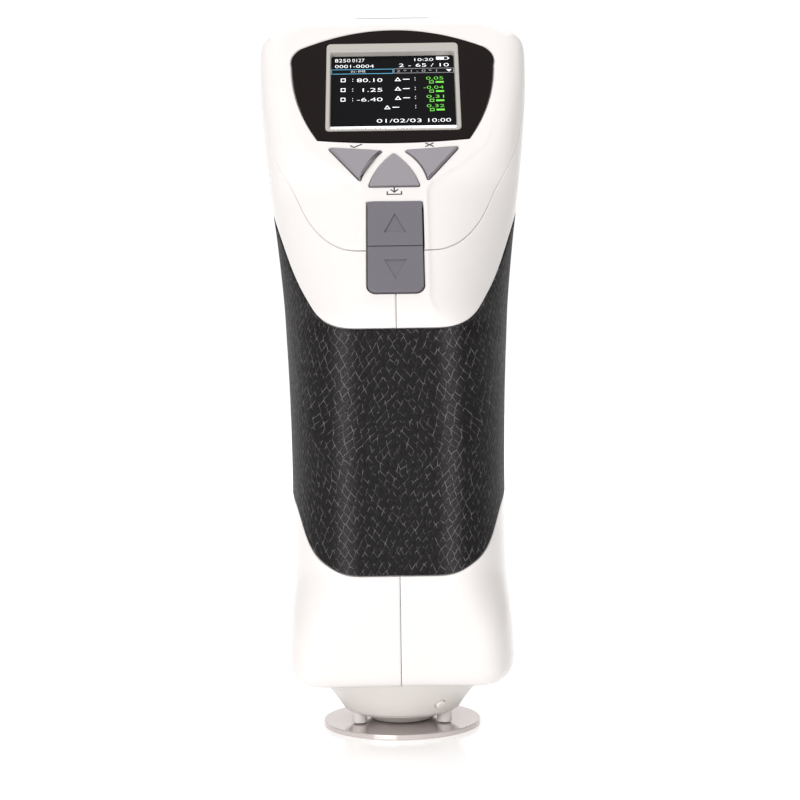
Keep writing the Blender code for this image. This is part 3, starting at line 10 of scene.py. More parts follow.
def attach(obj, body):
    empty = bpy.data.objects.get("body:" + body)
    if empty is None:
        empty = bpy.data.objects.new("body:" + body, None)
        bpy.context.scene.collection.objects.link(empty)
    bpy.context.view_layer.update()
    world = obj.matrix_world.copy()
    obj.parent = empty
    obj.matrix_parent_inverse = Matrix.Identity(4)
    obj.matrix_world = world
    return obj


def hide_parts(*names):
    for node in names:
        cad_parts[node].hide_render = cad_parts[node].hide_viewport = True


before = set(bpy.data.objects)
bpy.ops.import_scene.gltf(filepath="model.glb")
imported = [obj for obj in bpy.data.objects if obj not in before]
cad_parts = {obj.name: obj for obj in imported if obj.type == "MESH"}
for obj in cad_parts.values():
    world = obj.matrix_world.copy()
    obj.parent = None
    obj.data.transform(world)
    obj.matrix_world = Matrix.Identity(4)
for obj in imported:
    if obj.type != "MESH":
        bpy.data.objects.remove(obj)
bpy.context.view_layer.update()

MM = 0.001
GAP = 0.3 * MM
HALF_GAP = GAP / 2
OVERRUN = 4 * MM

# Body sizes, the same as the solids'
BODY_BOTTOM = 15.8 * MM
BODY_HEIGHT = 196.4 * MM
BODY_TOP = BODY_BOTTOM + BODY_HEIGHT
HEAD_HALF_WIDTH = 40.0 * MM
CHIN_DEPTH = 36.5 * MM
BACK_DEPTH = 34.8 * MM
CHIN_LEVEL = BODY_BOTTOM + 0.520367 * BODY_HEIGHT
FACE_TILT = math.atan2(CHIN_DEPTH + 0.513976 * BACK_DEPTH, BODY_TOP - CHIN_LEVEL)
CHIN_BLEND = 1.2 * MM
ARCH_RADIUS = 117.0 * MM
SHOULDER_BLEND = 4.0 * MM
FACET_BLEND = 1.0 * MM
FACET_HALF_WIDTH = 31.8 * MM
BOTTOM_ROUND = 5.5 * MM
TOP_FRONT_ROUND = 4.5 * MM
TOP_BACK_ROUND = 11.0 * MM
TOP_CAP = 0.5 * MM
PAD_STEP = 0.8 * MM
PAD_SLOPE = 0.8 * MM
WALL = 2.8 * MM
NECK_RADIUS = 18.0 * MM
LEATHER_THICKNESS = 1.1 * MM
LEATHER_PROUD = 0.15 * MM

HALF_WIDTH_SHARES = ((0, 0.80), (0.042, 0.806), (0.072, 0.803), (0.103, 0.793), (0.133, 0.78),
                     (0.174, 0.768), (0.276, 0.763), (0.378, 0.77), (0.454, 0.783), (0.531, 0.808),
                     (0.632, 0.86), (0.734, 0.93), (0.811, 0.973), (0.887, 1.0), (1, 1.01))
FRONT_SHARES = ((0, 0.89), (0.05, 0.89), (0.15, 0.863), (0.25, 0.863), (0.378, 0.904),
                (0.454, 0.959), (0.51, 1.0), (1, 1.0))
BACK_SHARES = ((0, 0.915), (0.072, 0.915), (0.225, 0.873), (0.378, 0.845), (0.531, 0.887),
               (0.683, 0.972), (0.811, 1.0), (0.912, 0.986), (1, 0.944))
WIDEST_SHARES = ((0, 0), (0.43, 0), (0.531, 0.042), (0.632, 0.113), (0.734, 0.225), (0.836, 0.366),
                 (0.938, 0.507), (1, 0.62))
FACET_SHARES = ((0, 0.63), (0.062, 0.6), (0.123, 0.47), (0.174, 0.418), (0.48, 0.418), (0.515, 0.34),
                (0.541, 0.286), (0.693, 0.286), (0.709, 0.32), (0.724, 0.45), (0.746, 0.65),
                (0.778, 0.843), (0.82, 0.928), (0.864, 0.981), (0.907, 1.0), (1, 1.0))
FRONT_POWER_SHARES = ((0, 3.0), (0.08, 2.9), (0.16, 2.2), (0.48, 2.1), (0.55, 1.8), (0.68, 1.8),
                      (0.77, 2.1), (1, 2.2))
BACK_POWER_SHARES = ((0, 3.2), (0.1, 3.0), (0.23, 2.5), (0.6, 2.5), (1, 2.8))
PAD_SHARES = ((0, 0), (0.5, 0), (0.53, 0.7), (0.56, 1.0), (0.72, 1.0), (0.78, 0.5), (0.86, 0.2), (1, 0))
FACET_LIMIT_SHARE = 0.84

# Side lines of the seam and of the leather: shares of CHIN_DEPTH and of BODY_HEIGHT
SEAM_SHARES = ((-1.4, 0.6055), (-0.732, 0.6066), (-0.695, 0.608), (-0.656, 0.6123), (-0.598, 0.62),
               (-0.516, 0.6331), (-0.404, 0.6535), (-0.31, 0.674), (-0.23, 0.6945), (-0.165, 0.718),
               (-0.1, 0.746), (0.0, 0.783), (0.15, 0.823), (0.35, 0.863), (0.55, 0.901), (0.72, 0.938),
               (0.849, 0.975), (1.15, 1.12))
LEATHER_TOP_SHARES = ((-1.4, 0.4945), (-0.992, 0.4948), (-0.972, 0.4985), (-0.907, 0.5065),
                      (-0.8, 0.5188), (-0.69, 0.5315), (-0.582, 0.546), (-0.442, 0.569),
                      (-0.305, 0.5947), (-0.18, 0.621), (-0.06, 0.6466), (0.06, 0.6675),
                      (0.25, 0.692), (0.5, 0.71), (0.8, 0.718), (1.4, 0.72))
LEATHER_BOTTOM_SHARES = ((-1.4, 0.1535), (-0.868, 0.1545), (-0.855, 0.1597), (-0.836, 0.1672),
                         (-0.776, 0.1762), (-0.722, 0.1862), (-0.678, 0.1962), (-0.629, 0.2068),
                         (-0.596, 0.2172), (-0.559, 0.228), (-0.51, 0.2387), (-0.42, 0.249),
                         (-0.28, 0.2575), (0, 0.268), (0.4, 0.277), (1.4, 0.281))

# Frames of the face, the back and the upright
FACE = Matrix(((1, 0, 0, 0),
               (0, math.sin(FACE_TILT), -math.cos(FACE_TILT), -CHIN_DEPTH),
               (0, math.cos(FACE_TILT), math.sin(FACE_TILT), CHIN_LEVEL),
               (0, 0, 0, 1)))
BACK_VIEW = Matrix(((-1, 0, 0, 0), (0, 0, 1, 0), (0, 1, 0, 0), (0, 0, 0, 1)))
UPRIGHT = Matrix.Identity(4)


# ---------------------------------------------------------------- modelling by operators

def deselect_all():
    """Leave edit mode and select nothing."""
    if bpy.context.object and bpy.context.object.mode != "OBJECT":
        bpy.ops.object.mode_set(mode="OBJECT")
    bpy.ops.object.select_all(action="DESELECT")


def take(piece):
    """Make a piece the only selected and active one."""
    deselect_all()
    bpy.context.view_layer.objects.active = piece
    piece.select_set(True)
    return piece


def start(name):
    """Name the primitive that was just added."""
    piece = bpy.context.object
    piece.name = name
    piece.data.name = name
    return piece


def outward(piece, merge=0.002 * MM):
    """Merge doubles and point all faces outwards."""
    take(piece)
    bpy.ops.object.mode_set(mode="EDIT")
    bpy.ops.mesh.select_all(action="SELECT")
    bpy.ops.mesh.remove_doubles(threshold=merge)
    bpy.ops.mesh.normals_make_consistent(inside=False)
    bpy.ops.object.mode_set(mode="OBJECT")
    return piece


def soften(piece, degrees=34):
    """Shade smooth, with sharp edges over an angle, and keep broad flat faces flat."""
    take(piece)
    bpy.ops.object.shade_smooth_by_angle(angle=math.radians(degrees))
    flats = piece.modifiers.new("flat_faces", "WEIGHTED_NORMAL")
    flats.mode = "FACE_AREA"
    flats.weight = 60
    flats.keep_sharp = True
    bpy.ops.object.modifier_apply(modifier=flats.name)
    return piece


def boolean(piece, other, operation, keep=False):
    """Cut, join or trim a piece with another closed one."""
    change = piece.modifiers.new(operation.lower(), "BOOLEAN")
    change.operation = operation
    change.solver = "MANIFOLD"
    change.object = other
    take(piece)
    bpy.ops.object.modifier_apply(modifier=change.name)
    if not keep:
        bpy.data.objects.remove(other, do_unlink=True)
    return piece


def cut(piece, *others):
    """Take other pieces away."""
    for other in others:
        boolean(piece, other, "DIFFERENCE")
    return piece


def copied(piece, name):
    """A copy with a mesh of its own."""
    take(piece)
    bpy.ops.object.duplicate()
    return start(name)


def joined(name, pieces):
    """Several pieces as one object."""
    deselect_all()
    for piece in pieces:
        piece.select_set(True)
    bpy.context.view_layer.objects.active = pieces[0]
    if len(pieces) > 1:
        bpy.ops.object.join()
    return start(name)


def box(name, low, high, place=UPRIGHT, bevel=0, segments=2):
    """A cube primitive between two corners of a frame, with bevelled edges."""
    deselect_all()
    middle = (Vector(low) + Vector(high)) / 2
    size = Vector(high) - Vector(low)
    bpy.ops.mesh.primitive_cube_add(size=1, location=middle, scale=size)
    piece = start(name)
    bpy.ops.object.transform_apply(location=True, rotation=True, scale=True)
    if bevel:
        bpy.ops.object.mode_set(mode="EDIT")
        bpy.ops.mesh.select_all(action="SELECT")
        bpy.ops.mesh.bevel(offset=bevel, segments=segments, affect="EDGES")
        bpy.ops.object.mode_set(mode="OBJECT")
    piece.data.transform(place)
    return piece


def extruded_loops(name, loops, place=UPRIGHT, closed=False, cap_low=True, cap_high=True):
    """A drawn circle is shaped to the first loop and extruded to each next one, in a frame."""
    deselect_all()
    bpy.ops.mesh.primitive_circle_add(vertices=len(loops[0]), radius=1 * MM)
    piece = start(name)
    for corner, point in zip(piece.data.vertices, loops[0]):
        corner.co = point
    bpy.ops.object.mode_set(mode="EDIT")
    mesh = bmesh.from_edit_mesh(piece.data)
    first_ring = list(mesh.verts)
    if cap_low and not closed:
        bpy.ops.mesh.select_all(action="SELECT")
        bpy.ops.mesh.edge_face_add()
        mesh = bmesh.from_edit_mesh(piece.data)
        mesh.verts.ensure_lookup_table()
        first_ring = list(mesh.verts)
        for face in mesh.faces:
            face.select = False
    ring = first_ring
    edges = [edge for edge in mesh.edges]
    for loop in loops[1:]:
        grown_edges = bmesh.ops.extrude_edge_only(mesh, edges=edges)["geom"]
        new_verts = [item for item in grown_edges if isinstance(item, bmesh.types.BMVert)]
        edges = [item for item in grown_edges if isinstance(item, bmesh.types.BMEdge)
                 and item.verts[0] in set(new_verts) and item.verts[1] in set(new_verts)]
        where = {tuple(vert.co): vert for vert in new_verts}
        ring = [where[tuple(vert.co)] for vert in ring]
        for vert, point in zip(ring, loop):
            vert.co = point
    if closed:
        for i in range(len(ring)):
            j = (i + 1) % len(ring)
            mesh.faces.new((first_ring[i], first_ring[j], ring[j], ring[i]))
    elif cap_high:
        mesh.faces.new(ring)
    bmesh.update_edit_mesh(piece.data)
    bpy.ops.mesh.select_all(action="SELECT")
    bpy.ops.mesh.normals_make_consistent(inside=False)
    bpy.ops.object.mode_set(mode="OBJECT")
    piece.data.transform(place)
    return piece


def at(outline, height):
    """An outline of a plane as a loop at a height."""
    return [(x, y, height) for x, y in outline]


def circle(radius, count=96, centre=(0, 0)):
    """Points of a circle."""
    return [(centre[0] + radius * math.cos(math.tau * i / count),
             centre[1] + radius * math.sin(math.tau * i / count)) for i in range(count)]


def slab(name, outline, low, high, place=UPRIGHT, edge=0):
    """An outline made thick, with its upper edge rounded over by a small radius."""
    loops = [at(outline, low)]
    if edge:
        for turn in (0, 30, 60, 90):
            angle = math.radians(turn)
            loops.append(at(grown(outline, -edge * (1 - math.cos(angle))),
                            high - edge * (1 - math.sin(angle))))
    else:
        loops.append(at(outline, high))
    return extruded_loops(name, loops, place)


def grown(outline, distance):
    """An outline with its sides moved out by a distance."""
    count = len(outline)
    if not distance:
        return list(outline)
    area = sum(outline[i][0] * outline[(i + 1) % count][1] - outline[(i + 1) % count][0] * outline[i][1]
               for i in range(count))
    sign = 1 if area > 0 else -1
    result = []
    for i in range(count):
        before = (Vector(outline[i]) - Vector(outline[i - 1])).normalized()
        after = (Vector(outline[(i + 1) % count]) - Vector(outline[i])).normalized()
        first = Vector((before.y, -before.x)) * sign
        second = Vector((after.y, -after.x)) * sign
        middle = (first + second).normalized()
        result.append(tuple(Vector(outline[i]) + middle * distance / max(middle.dot(first), 0.35)))
    return result


def bowed(first, last, bulge, steps=12):
    """Points from first towards last on an arc that stands off the straight line."""
    first, last = Vector(first), Vector(last)
    across = last - first
    normal = Vector((across.y, -across.x)).normalized()
    return [tuple(first + across * (i / steps) + normal * bulge * 4 * (i / steps) * (1 - i / steps))
            for i in range(steps)]


def rounded(outline, radius, steps=8):
    """An outline whose true corners are replaced by arcs."""
    result = []
    count = len(outline)
    for i in range(count):
        here = Vector(outline[i])
        back = Vector(outline[i - 1]) - here
        ahead = Vector(outline[(i + 1) % count]) - here
        if back.angle(ahead) > math.radians(155):
            result.append(tuple(here))
            continue
        reach = min(radius, back.length * 0.45, ahead.length * 0.45)
        first = here + back.normalized() * reach
        last = here + ahead.normalized() * reach
        for step in range(steps + 1):
            t = step / steps
            result.append(tuple(first * (1 - t) ** 2 + here * 2 * t * (1 - t) + last * t * t))
    return result


def rectangle(half_width, low, high, centre=0):
    """Corners of an upright rectangle."""
    return [(centre - half_width, low), (centre + half_width, low),
            (centre + half_width, high), (centre - half_width, high)]


def tongue(half_width, low, high, radius, steps=10):
    """Upright rectangle whose two low corners are round."""
    turns = [math.pi / 2 * step / steps for step in range(steps + 1)]
    right = [(half_width - radius * (1 - math.sin(turn)), low + radius * (1 - math.cos(turn)))
             for turn in turns]
    left = [(-x, y) for x, y in reversed(right)]
    return left + right + [(half_width, high), (-half_width, high)]


# ---------------------------------------------------------------- the body's surface

def shares_at(table, share):
    """Smooth value of a table of shares, without overshoot between its rows."""
    places = [row[0] for row in table]
    values = [row[1] for row in table]
    share = min(max(share, places[0]), places[-1])
    slopes = [(values[i + 1] - values[i]) / (places[i + 1] - places[i]) for i in range(len(places) - 1)]
    leans = [slopes[0]]
    for before, after in zip(slopes, slopes[1:]):
        leans.append(0 if before * after <= 0 else 2 * before * after / (before + after))
    leans.append(slopes[-1])
    row = min(int(np.searchsorted(places, share, side="right")) - 1, len(places) - 2)
    span = places[row + 1] - places[row]
    t = (share - places[row]) / span
    return (values[row] * (1 + 2 * t) * (1 - t) ** 2 + leans[row] * span * t * (1 - t) ** 2
            + values[row + 1] * t * t * (3 - 2 * t) + leans[row + 1] * span * t * t * (t - 1))


def soft_least(first, second, blend):
    """The smaller of two lengths, with a smooth change between them."""
    least = min(first, second)
    return least - blend * math.log(math.exp((least - first) / blend) + math.exp((least - second) / blend))


def edge_draw(depth, radius):
    """How far a rounded edge draws in at a depth below the surface that it ends in."""
    if depth >= radius:
        return 0
    return radius - math.sqrt(max(radius ** 2 - (radius - depth) ** 2, 0))


LIP_WIDTHS = np.array((0, 0.12, 0.26, 0.42, 0.62, 0.9)) * MM
RING_STEPS = 90
FINE_STEPS = 45
FINE_STEP = 0.12 * MM
COLUMN_SHARES = np.concatenate((np.linspace(0, 0.62, 135)[1:], np.linspace(0.62, 1, 41)[1:]))


def half_ring(level, inset=0):
    """Points of one half of the body's outline, from the front middle round to the back middle."""
    share = (level - BODY_BOTTOM) / BODY_HEIGHT
    top_depth = BODY_TOP - inset - level
    crown_depth = BODY_TOP - TOP_CAP - inset - level
    low_draw = edge_draw(level - BODY_BOTTOM - inset, max(BOTTOM_ROUND - inset, 1 * MM))
    arch = ARCH_RADIUS - inset
    arch_width = math.sqrt(max(2 * arch * top_depth - top_depth ** 2, 0))
    side = shares_at(HALF_WIDTH_SHARES, share) * HEAD_HALF_WIDTH - inset
    width = soft_least(side, arch_width, SHOULDER_BLEND) - low_draw
    plane = -CHIN_DEPTH + (level - CHIN_LEVEL) * math.tan(FACE_TILT)
    lower = -shares_at(FRONT_SHARES, share) * CHIN_DEPTH
    front = -soft_least(-plane, -lower, CHIN_BLEND)
    front += inset / math.cos(FACE_TILT) + low_draw
    front += edge_draw(crown_depth, max(TOP_FRONT_ROUND - inset, 1 * MM))
    back = shares_at(BACK_SHARES, share) * BACK_DEPTH - inset - low_draw
    back -= edge_draw(crown_depth, max(TOP_BACK_ROUND - inset, 1 * MM))
    widest = min(shares_at(WIDEST_SHARES, share) * BACK_DEPTH, (front + 2 * back) / 3)
    facet = shares_at(FACET_SHARES, share) * FACET_HALF_WIDTH - inset / 2
    facet = soft_least(facet, FACET_LIMIT_SHARE * width, FACET_BLEND)
    front_power = 2 / shares_at(FRONT_POWER_SHARES, share)
    back_power = 2 / shares_at(BACK_POWER_SHARES, share)
    pad = shares_at(PAD_SHARES, share) * PAD_STEP
    reach = width - facet

    dense = np.linspace(0, 1, RING_STEPS)
    fine = np.clip(FINE_STEP * np.arange(FINE_STEPS) / reach, 0, 1)
    angles = np.unique(np.concatenate((np.arcsin(dense ** (1 / front_power)),
                                       np.arccos(dense ** (1 / front_power)),
                                       np.arcsin(fine ** (1 / front_power)))))
    across = reach * np.sin(angles) ** front_power
    lean = np.clip(np.cos(angles), 0, 1)
    drop = pad * (1 - np.exp(-across / PAD_SLOPE)) * lean
    back_dense = np.arcsin(dense ** (1 / back_power))
    back_angles = np.unique(np.concatenate((back_dense, np.pi / 2 - back_dense)))[1:]
    ring_x = np.concatenate(((0,), facet + across,
                             width * np.clip(np.cos(back_angles), 0, 1) ** back_power))
    ring_y = np.concatenate(((front,), widest + (front - widest) * lean ** front_power + drop,
                             widest + (back - widest) * np.sin(back_angles) ** back_power))
    run = np.concatenate(((0,), np.cumsum(np.hypot(np.diff(ring_x), np.diff(ring_y)))))
    lip = LIP_WIDTHS[-1]
    places = np.concatenate((LIP_WIDTHS, lip + (run[-1] - 2 * lip) * COLUMN_SHARES,
                             run[-1] - LIP_WIDTHS[::-1][1:]))
    return np.interp(places, run, ring_x), np.interp(places, run, ring_y), places


TABLE_LEVELS = np.concatenate((
    BODY_BOTTOM + BOTTOM_ROUND * (1 - np.cos(np.linspace(0, 1, 24) * np.pi / 2)),
    np.linspace(BODY_BOTTOM + BOTTOM_ROUND, BODY_TOP - 12 * MM, 420)[1:-1],
    BODY_TOP - TOP_CAP - 11.5 * MM * np.cos(np.linspace(0, 1, 60) * np.pi / 2)))
TABLE_LEVELS[-1] = BODY_TOP - TOP_CAP
SURFACE = np.array([half_ring(level) for level in TABLE_LEVELS])
SURFACE_X, SURFACE_Y, SURFACE_RUN = SURFACE[:, 0, :], SURFACE[:, 1, :], SURFACE[:, 2, :]
COLUMNS = SURFACE_X.shape[1]
CROWN = TABLE_LEVELS[-1]


def surface_points(levels):
    """Places on the surface for levels given as rows by columns."""
    result = np.empty(levels.shape + (3,))
    for column in range(COLUMNS):
        result[:, column, 0] = np.interp(levels[:, column], TABLE_LEVELS, SURFACE_X[:, column])
        result[:, column, 1] = np.interp(levels[:, column], TABLE_LEVELS, SURFACE_Y[:, column])
        result[:, column, 2] = levels[:, column]
    return result


def surface_normals(levels):
    """Outward directions of the surface at those places."""
    step = 0.25 * MM
    up = (surface_points(np.minimum(levels + step, CROWN))
          - surface_points(np.maximum(levels - step, BODY_BOTTOM)))
    here = surface_points(levels)
    padded = np.concatenate((here[:, 1:2] * (-1, 1, 1), here, here[:, -2:-1] * (-1, 1, 1)), axis=1)
    along = padded[:, 2:] - padded[:, :-2]
    normals = np.cross(along, up)
    lengths = np.linalg.norm(normals, axis=2, keepdims=True)
    return normals / np.maximum(lengths, 1e-12)


def crossing(shares, shift=0):
    """Level at which each column of the surface meets a line of the side view."""
    result = []
    for column in range(COLUMNS):
        line = np.array([BODY_BOTTOM + shares_at(shares, y / CHIN_DEPTH) * BODY_HEIGHT
                         for y in SURFACE_Y[:, column]]) + shift
        over = TABLE_LEVELS - line
        first = int(np.argmax(over > 0))
        if first == 0:
            result.append(TABLE_LEVELS[-1])
            continue
        t = -over[first - 1] / (over[first] - over[first - 1])
        result.append(TABLE_LEVELS[first - 1] + t * (TABLE_LEVELS[first] - TABLE_LEVELS[first - 1]))
    return np.array(result)


def eased(levels, reach):
    """A line of levels with its bends softened over some columns each way."""
    mirrored = np.concatenate((levels[reach:0:-1], levels, levels[-2:-reach - 2:-1]))
    weights = np.exp(-0.5 * (np.arange(-reach, reach + 1) / (reach / 2.5)) ** 2)
    return np.convolve(mirrored, weights / weights.sum(), mode="valid")


SEAM_LEVELS = eased(crossing(SEAM_SHARES), 7)
LEATHER_TOP_LEVELS = eased(crossing(LEATHER_TOP_SHARES), 12)
LEATHER_BOTTOM_LEVELS = eased(crossing(LEATHER_BOTTOM_SHARES), 14)


def spread_rows(low, high, count):
    """Rows spaced evenly between two lines of levels, without the last one."""
    return [low + (high - low) * i / count for i in range(count)]


LIP_SHARES = ((1.0, 0.0), (0.62, 0.06), (0.34, 0.2), (0.14, 0.46), (0.03, 0.76), (0, 1.0))
LIP_RADIUS = 0.38 * MM
RECESS_DEPTH = LEATHER_THICKNESS + 0.25 * MM


def lip_rows(levels, direction, radius=LIP_RADIUS):
    """Rows of a rounded edge that ends at a line: levels and depths, from the surface to the line."""
    return [(levels - direction * radius * near, np.full(COLUMNS, radius * deep))
            for near, deep in LIP_SHARES]


def ring_solid(name, rows, depths):
    """A closed solid from rows of levels and depths on the right half, mirrored to the left."""
    levels = np.array(rows)
    places = surface_points(levels) - surface_normals(levels) * np.array(depths)[:, :, None]
    places[:, 0, 0] = 0
    places[:, -1, 0] = 0
    left = places[:, -2:0:-1] * (-1, 1, 1)
    ring = np.concatenate((places, left, places[:, :1]), axis=1)
    deselect_all()
    bpy.ops.mesh.primitive_grid_add(x_subdivisions=ring.shape[1] - 1, y_subdivisions=ring.shape[0] - 1,
                                    size=1)
    piece = start(name)
    piece.data.vertices.foreach_set("co", ring.reshape(-1))
    piece.data.update()
    mesh = bmesh.new()
    mesh.from_mesh(piece.data)
    mesh.verts.ensure_lookup_table()
    across = ring.shape[1]
    for row in (0, ring.shape[0] - 1):
        base = row * across
        for column in range(COLUMNS - 1):
            right, right_next = base + column, base + column + 1
            left_next, left_here = base + across - 2 - column, base + across - 1 - column
            corners = [right, right_next, left_next, left_here]
            if column == 0:
                corners = [base, right_next, left_next]
            if column == COLUMNS - 2:
                corners = [right, right_next, left_here]
            mesh.faces.new([mesh.verts[i] for i in corners])
    mesh.to_mesh(piece.data)
    mesh.free()
    return outward(piece, 0.0005 * MM)


def groove_columns(rows, depths):
    """Depths with the rounded edges of the centre seam added to them."""
    profile = np.interp(np.arange(COLUMNS), range(len(LIP_WIDTHS)),
                        LIP_RADIUS * np.array((1.0, 0.62, 0.34, 0.14, 0.04, 0)), right=0)
    profile = np.maximum(profile, profile[::-1])
    return [np.maximum(depth, profile) if row_index > 0 else depth
            for row_index, depth in enumerate(depths)]


def top_rows(low, count, round_count):
    """Rows from a line up to the crown, closer together where the crown curves over."""
    round_height = np.minimum(7 * MM, 0.6 * (CROWN - low))
    rows = spread_rows(low, CROWN - round_height, count)
    for i in range(round_count + 1):
        rows.append(CROWN - round_height * math.cos(math.pi / 2 * i / round_count))
    return rows


def inner_body():
    """The hollow inside the shells."""
    low, high = BODY_BOTTOM + WALL, BODY_TOP - TOP_CAP - WALL
    levels = np.concatenate((low + 3 * MM * (1 - np.cos(np.linspace(0, 1, 5) * np.pi / 2)),
                             np.linspace(low + 3 * MM, high - 8 * MM, 40)[1:],
                             high - 8 * MM * np.cos(np.linspace(0, 1, 9)[1:] * np.pi / 2)))
    rings = [half_ring(level, WALL) for level in levels]
    picked = list(range(0, COLUMNS, 5)) + ([COLUMNS - 1] if (COLUMNS - 1) % 5 else [])
    loops = []
    for level, (x, y, _) in zip(levels, rings):
        right = [(float(x[i]), float(y[i]), float(level)) for i in picked]
        loops.append(right + [(-a, b, c) for a, b, c in right[-2:0:-1]])
    return outward(extruded_loops("hollow", loops))


def body_rows():
    """Rows of the lower body: bottom round, leather recess with its lips, and the lip of the seam."""
    ones = np.ones(COLUMNS)
    flat = BODY_BOTTOM + BOTTOM_ROUND
    rows = [BODY_BOTTOM + BOTTOM_ROUND * (1 - math.cos(math.pi / 2 * i / 9)) * ones for i in range(9)]
    low_lip = lip_rows(LEATHER_BOTTOM_LEVELS - 0.05 * MM, 1)
    rows += spread_rows(flat * ones, low_lip[0][0], 26)
    depths = [0 * ones] * len(rows)
    rows += [row for row, _ in low_lip]
    depths += [depth for _, depth in low_lip]
    inner_low = LEATHER_BOTTOM_LEVELS - 0.04 * MM
    inner_high = LEATHER_TOP_LEVELS + 0.04 * MM
    recess = spread_rows(inner_low, inner_high, 34) + [inner_high]
    rows += recess
    depths += [RECESS_DEPTH * ones] * len(recess)
    high_lip = lip_rows(LEATHER_TOP_LEVELS + 0.05 * MM, -1)[::-1]
    rows += [row for row, _ in high_lip]
    depths += [depth for _, depth in high_lip]
    seam_lip = lip_rows(SEAM_LEVELS - HALF_GAP, 1)
    between = spread_rows(high_lip[-1][0], seam_lip[0][0], 34)[1:]
    rows += between
    depths += [0 * ones] * len(between)
    rows += [row for row, _ in seam_lip]
    depths += [depth for _, depth in seam_lip]
    return rows, groove_columns(rows, depths)


def cover_rows():
    """Rows of the front cover, from its seam lip to the crown."""
    ones = np.ones(COLUMNS)
    lip = lip_rows(SEAM_LEVELS + HALF_GAP, -1)[::-1]
    rows = [row for row, _ in lip]
    depths = [depth for _, depth in lip]
    above = top_rows(lip[-1][0], 112, 18)[1:]
    return rows + above, depths + [0 * ones] * len(above)


def leather_rows():
    """Rows of the leather sleeve's outer skin, rolled in at both edges."""
    ones = np.ones(COLUMNS)
    low = LEATHER_BOTTOM_LEVELS + 0.16 * MM
    high = LEATHER_TOP_LEVELS - 0.16 * MM
    turns = [math.pi / 2 * i / 6 for i in range(7)]
    roll = 0.75 * MM
    rows = [low + roll * (1 - math.cos(turn)) for turn in turns]
    depths = [(roll * (1 - math.sin(turn)) - LEATHER_PROUD) * ones for turn in turns]
    middle = spread_rows(low + roll, high - roll, 90)[1:]
    rows += middle
    depths += [-LEATHER_PROUD * ones] * len(middle)
    rows += [high - roll * (1 - math.cos(turn)) for turn in reversed(turns)]
    depths += [(roll * (1 - math.sin(turn)) - LEATHER_PROUD) * ones for turn in reversed(turns)]
    return rows, depths


CENTRE_HALF_GAP = 0.07 * MM
RIDGE_HEIGHT = 0.3 * MM
RIDGE_RUN = 14.2 * MM
RIDGE_SPREAD = 2.6 * MM


def leather_sleeve():
    """The leather as a sleeve: an outer skin, rolled edges and an inner face against the recess."""
    rows, depths = leather_rows()
    inner = LEATHER_THICKNESS + 0.05 * MM
    back = spread_rows(rows[-1], rows[0], 12) + [rows[0]]
    levels = np.array(rows + back)
    depth = np.array(depths + [inner * np.ones(COLUMNS)] * len(back))
    levels = np.concatenate((levels, levels[:1]))
    depth = np.concatenate((depth, depth[:1]))
    run = np.array([[np.interp(levels[row, column], TABLE_LEVELS, SURFACE_RUN[:, column])
                     for column in range(COLUMNS)] for row in range(len(levels))])
    inside = np.clip(np.minimum(levels - levels[0], levels[len(rows) - 1] - levels) / (6 * MM), 0, 1)
    puffed = np.arange(len(levels)) < len(rows)
    ridge = RIDGE_HEIGHT * np.exp(-((run - RIDGE_RUN) / RIDGE_SPREAD) ** 2) * inside * puffed[:, None]
    depth = depth - ridge
    places = surface_points(levels) - surface_normals(levels) * depth[:, :, None]
    places[:, 0, 0] = 0
    places[:, -1, 0] = 0
    left = places[:, -2:0:-1] * (-1, 1, 1)
    ring = np.concatenate((places, left, places[:, :1]), axis=1)
    deselect_all()
    bpy.ops.mesh.primitive_grid_add(x_subdivisions=ring.shape[1] - 1, y_subdivisions=ring.shape[0] - 1,
                                    size=1)
    piece = start("leather_sleeve")
    piece.data.vertices.foreach_set("co", ring.reshape(-1))
    piece.data.update()
    whole_run = np.concatenate((run, 2 * run[:, -1:] - run[:, -2:0:-1], 2 * run[:, -1:]), axis=1)
    flat = np.stack((whole_run - run[:, -1:], levels[:, :1] * 0 + ring[:, :, 2]), axis=2).reshape(-1, 2)
    corners = np.empty(len(piece.data.loops), dtype=int)
    piece.data.loops.foreach_get("vertex_index", corners)
    grain_map = piece.data.uv_layers.get("UVMap") or piece.data.uv_layers.new(name="UVMap")
    grain_map.data.foreach_set("uv", flat[corners].astype(np.float32).reshape(-1))
    # Distance from the ridge, kept on the leather for its painted ridge highlight.
    off_ridge = np.abs(np.concatenate((run, run[:, -2:0:-1], run[:, :1]), axis=1) - RIDGE_RUN)
    ridge_highlight_attribute = piece.data.attributes.new("ridge_run", "FLOAT", "POINT")
    ridge_highlight_attribute.data.foreach_set("value", off_ridge.astype(np.float32).reshape(-1))
    return outward(piece, 0.0005 * MM)


# ---------------------------------------------------------------- outlines of the face

PANEL_THICKNESS = 1.2 * MM
RIM_HALF_WIDTH = 19.7 * MM
RIM_LOW_UP = 62.1 * MM
RIM_HIGH_UP = 96.1 * MM
RIM_SIDE = 1.3 * MM
RIM_TOP = 3.4 * MM
RIM_FOOT = 0.7 * MM
RIM_PROUD = 0.35 * MM
SCREEN_SINK = 1.6 * MM
KEY_PROUD = 0.6 * MM
KEY_CORNER = 0.8 * MM
ARROW_KEY_HALF = 7.6 * MM
ARROW_KEY_LOW_UP = 5.1 * MM
ARROW_KEY_MIDDLE_UP = 20.6 * MM
ARROW_KEY_HIGH_UP = 36.3 * MM
ARROW_KEY_CORNER = 2.3 * MM


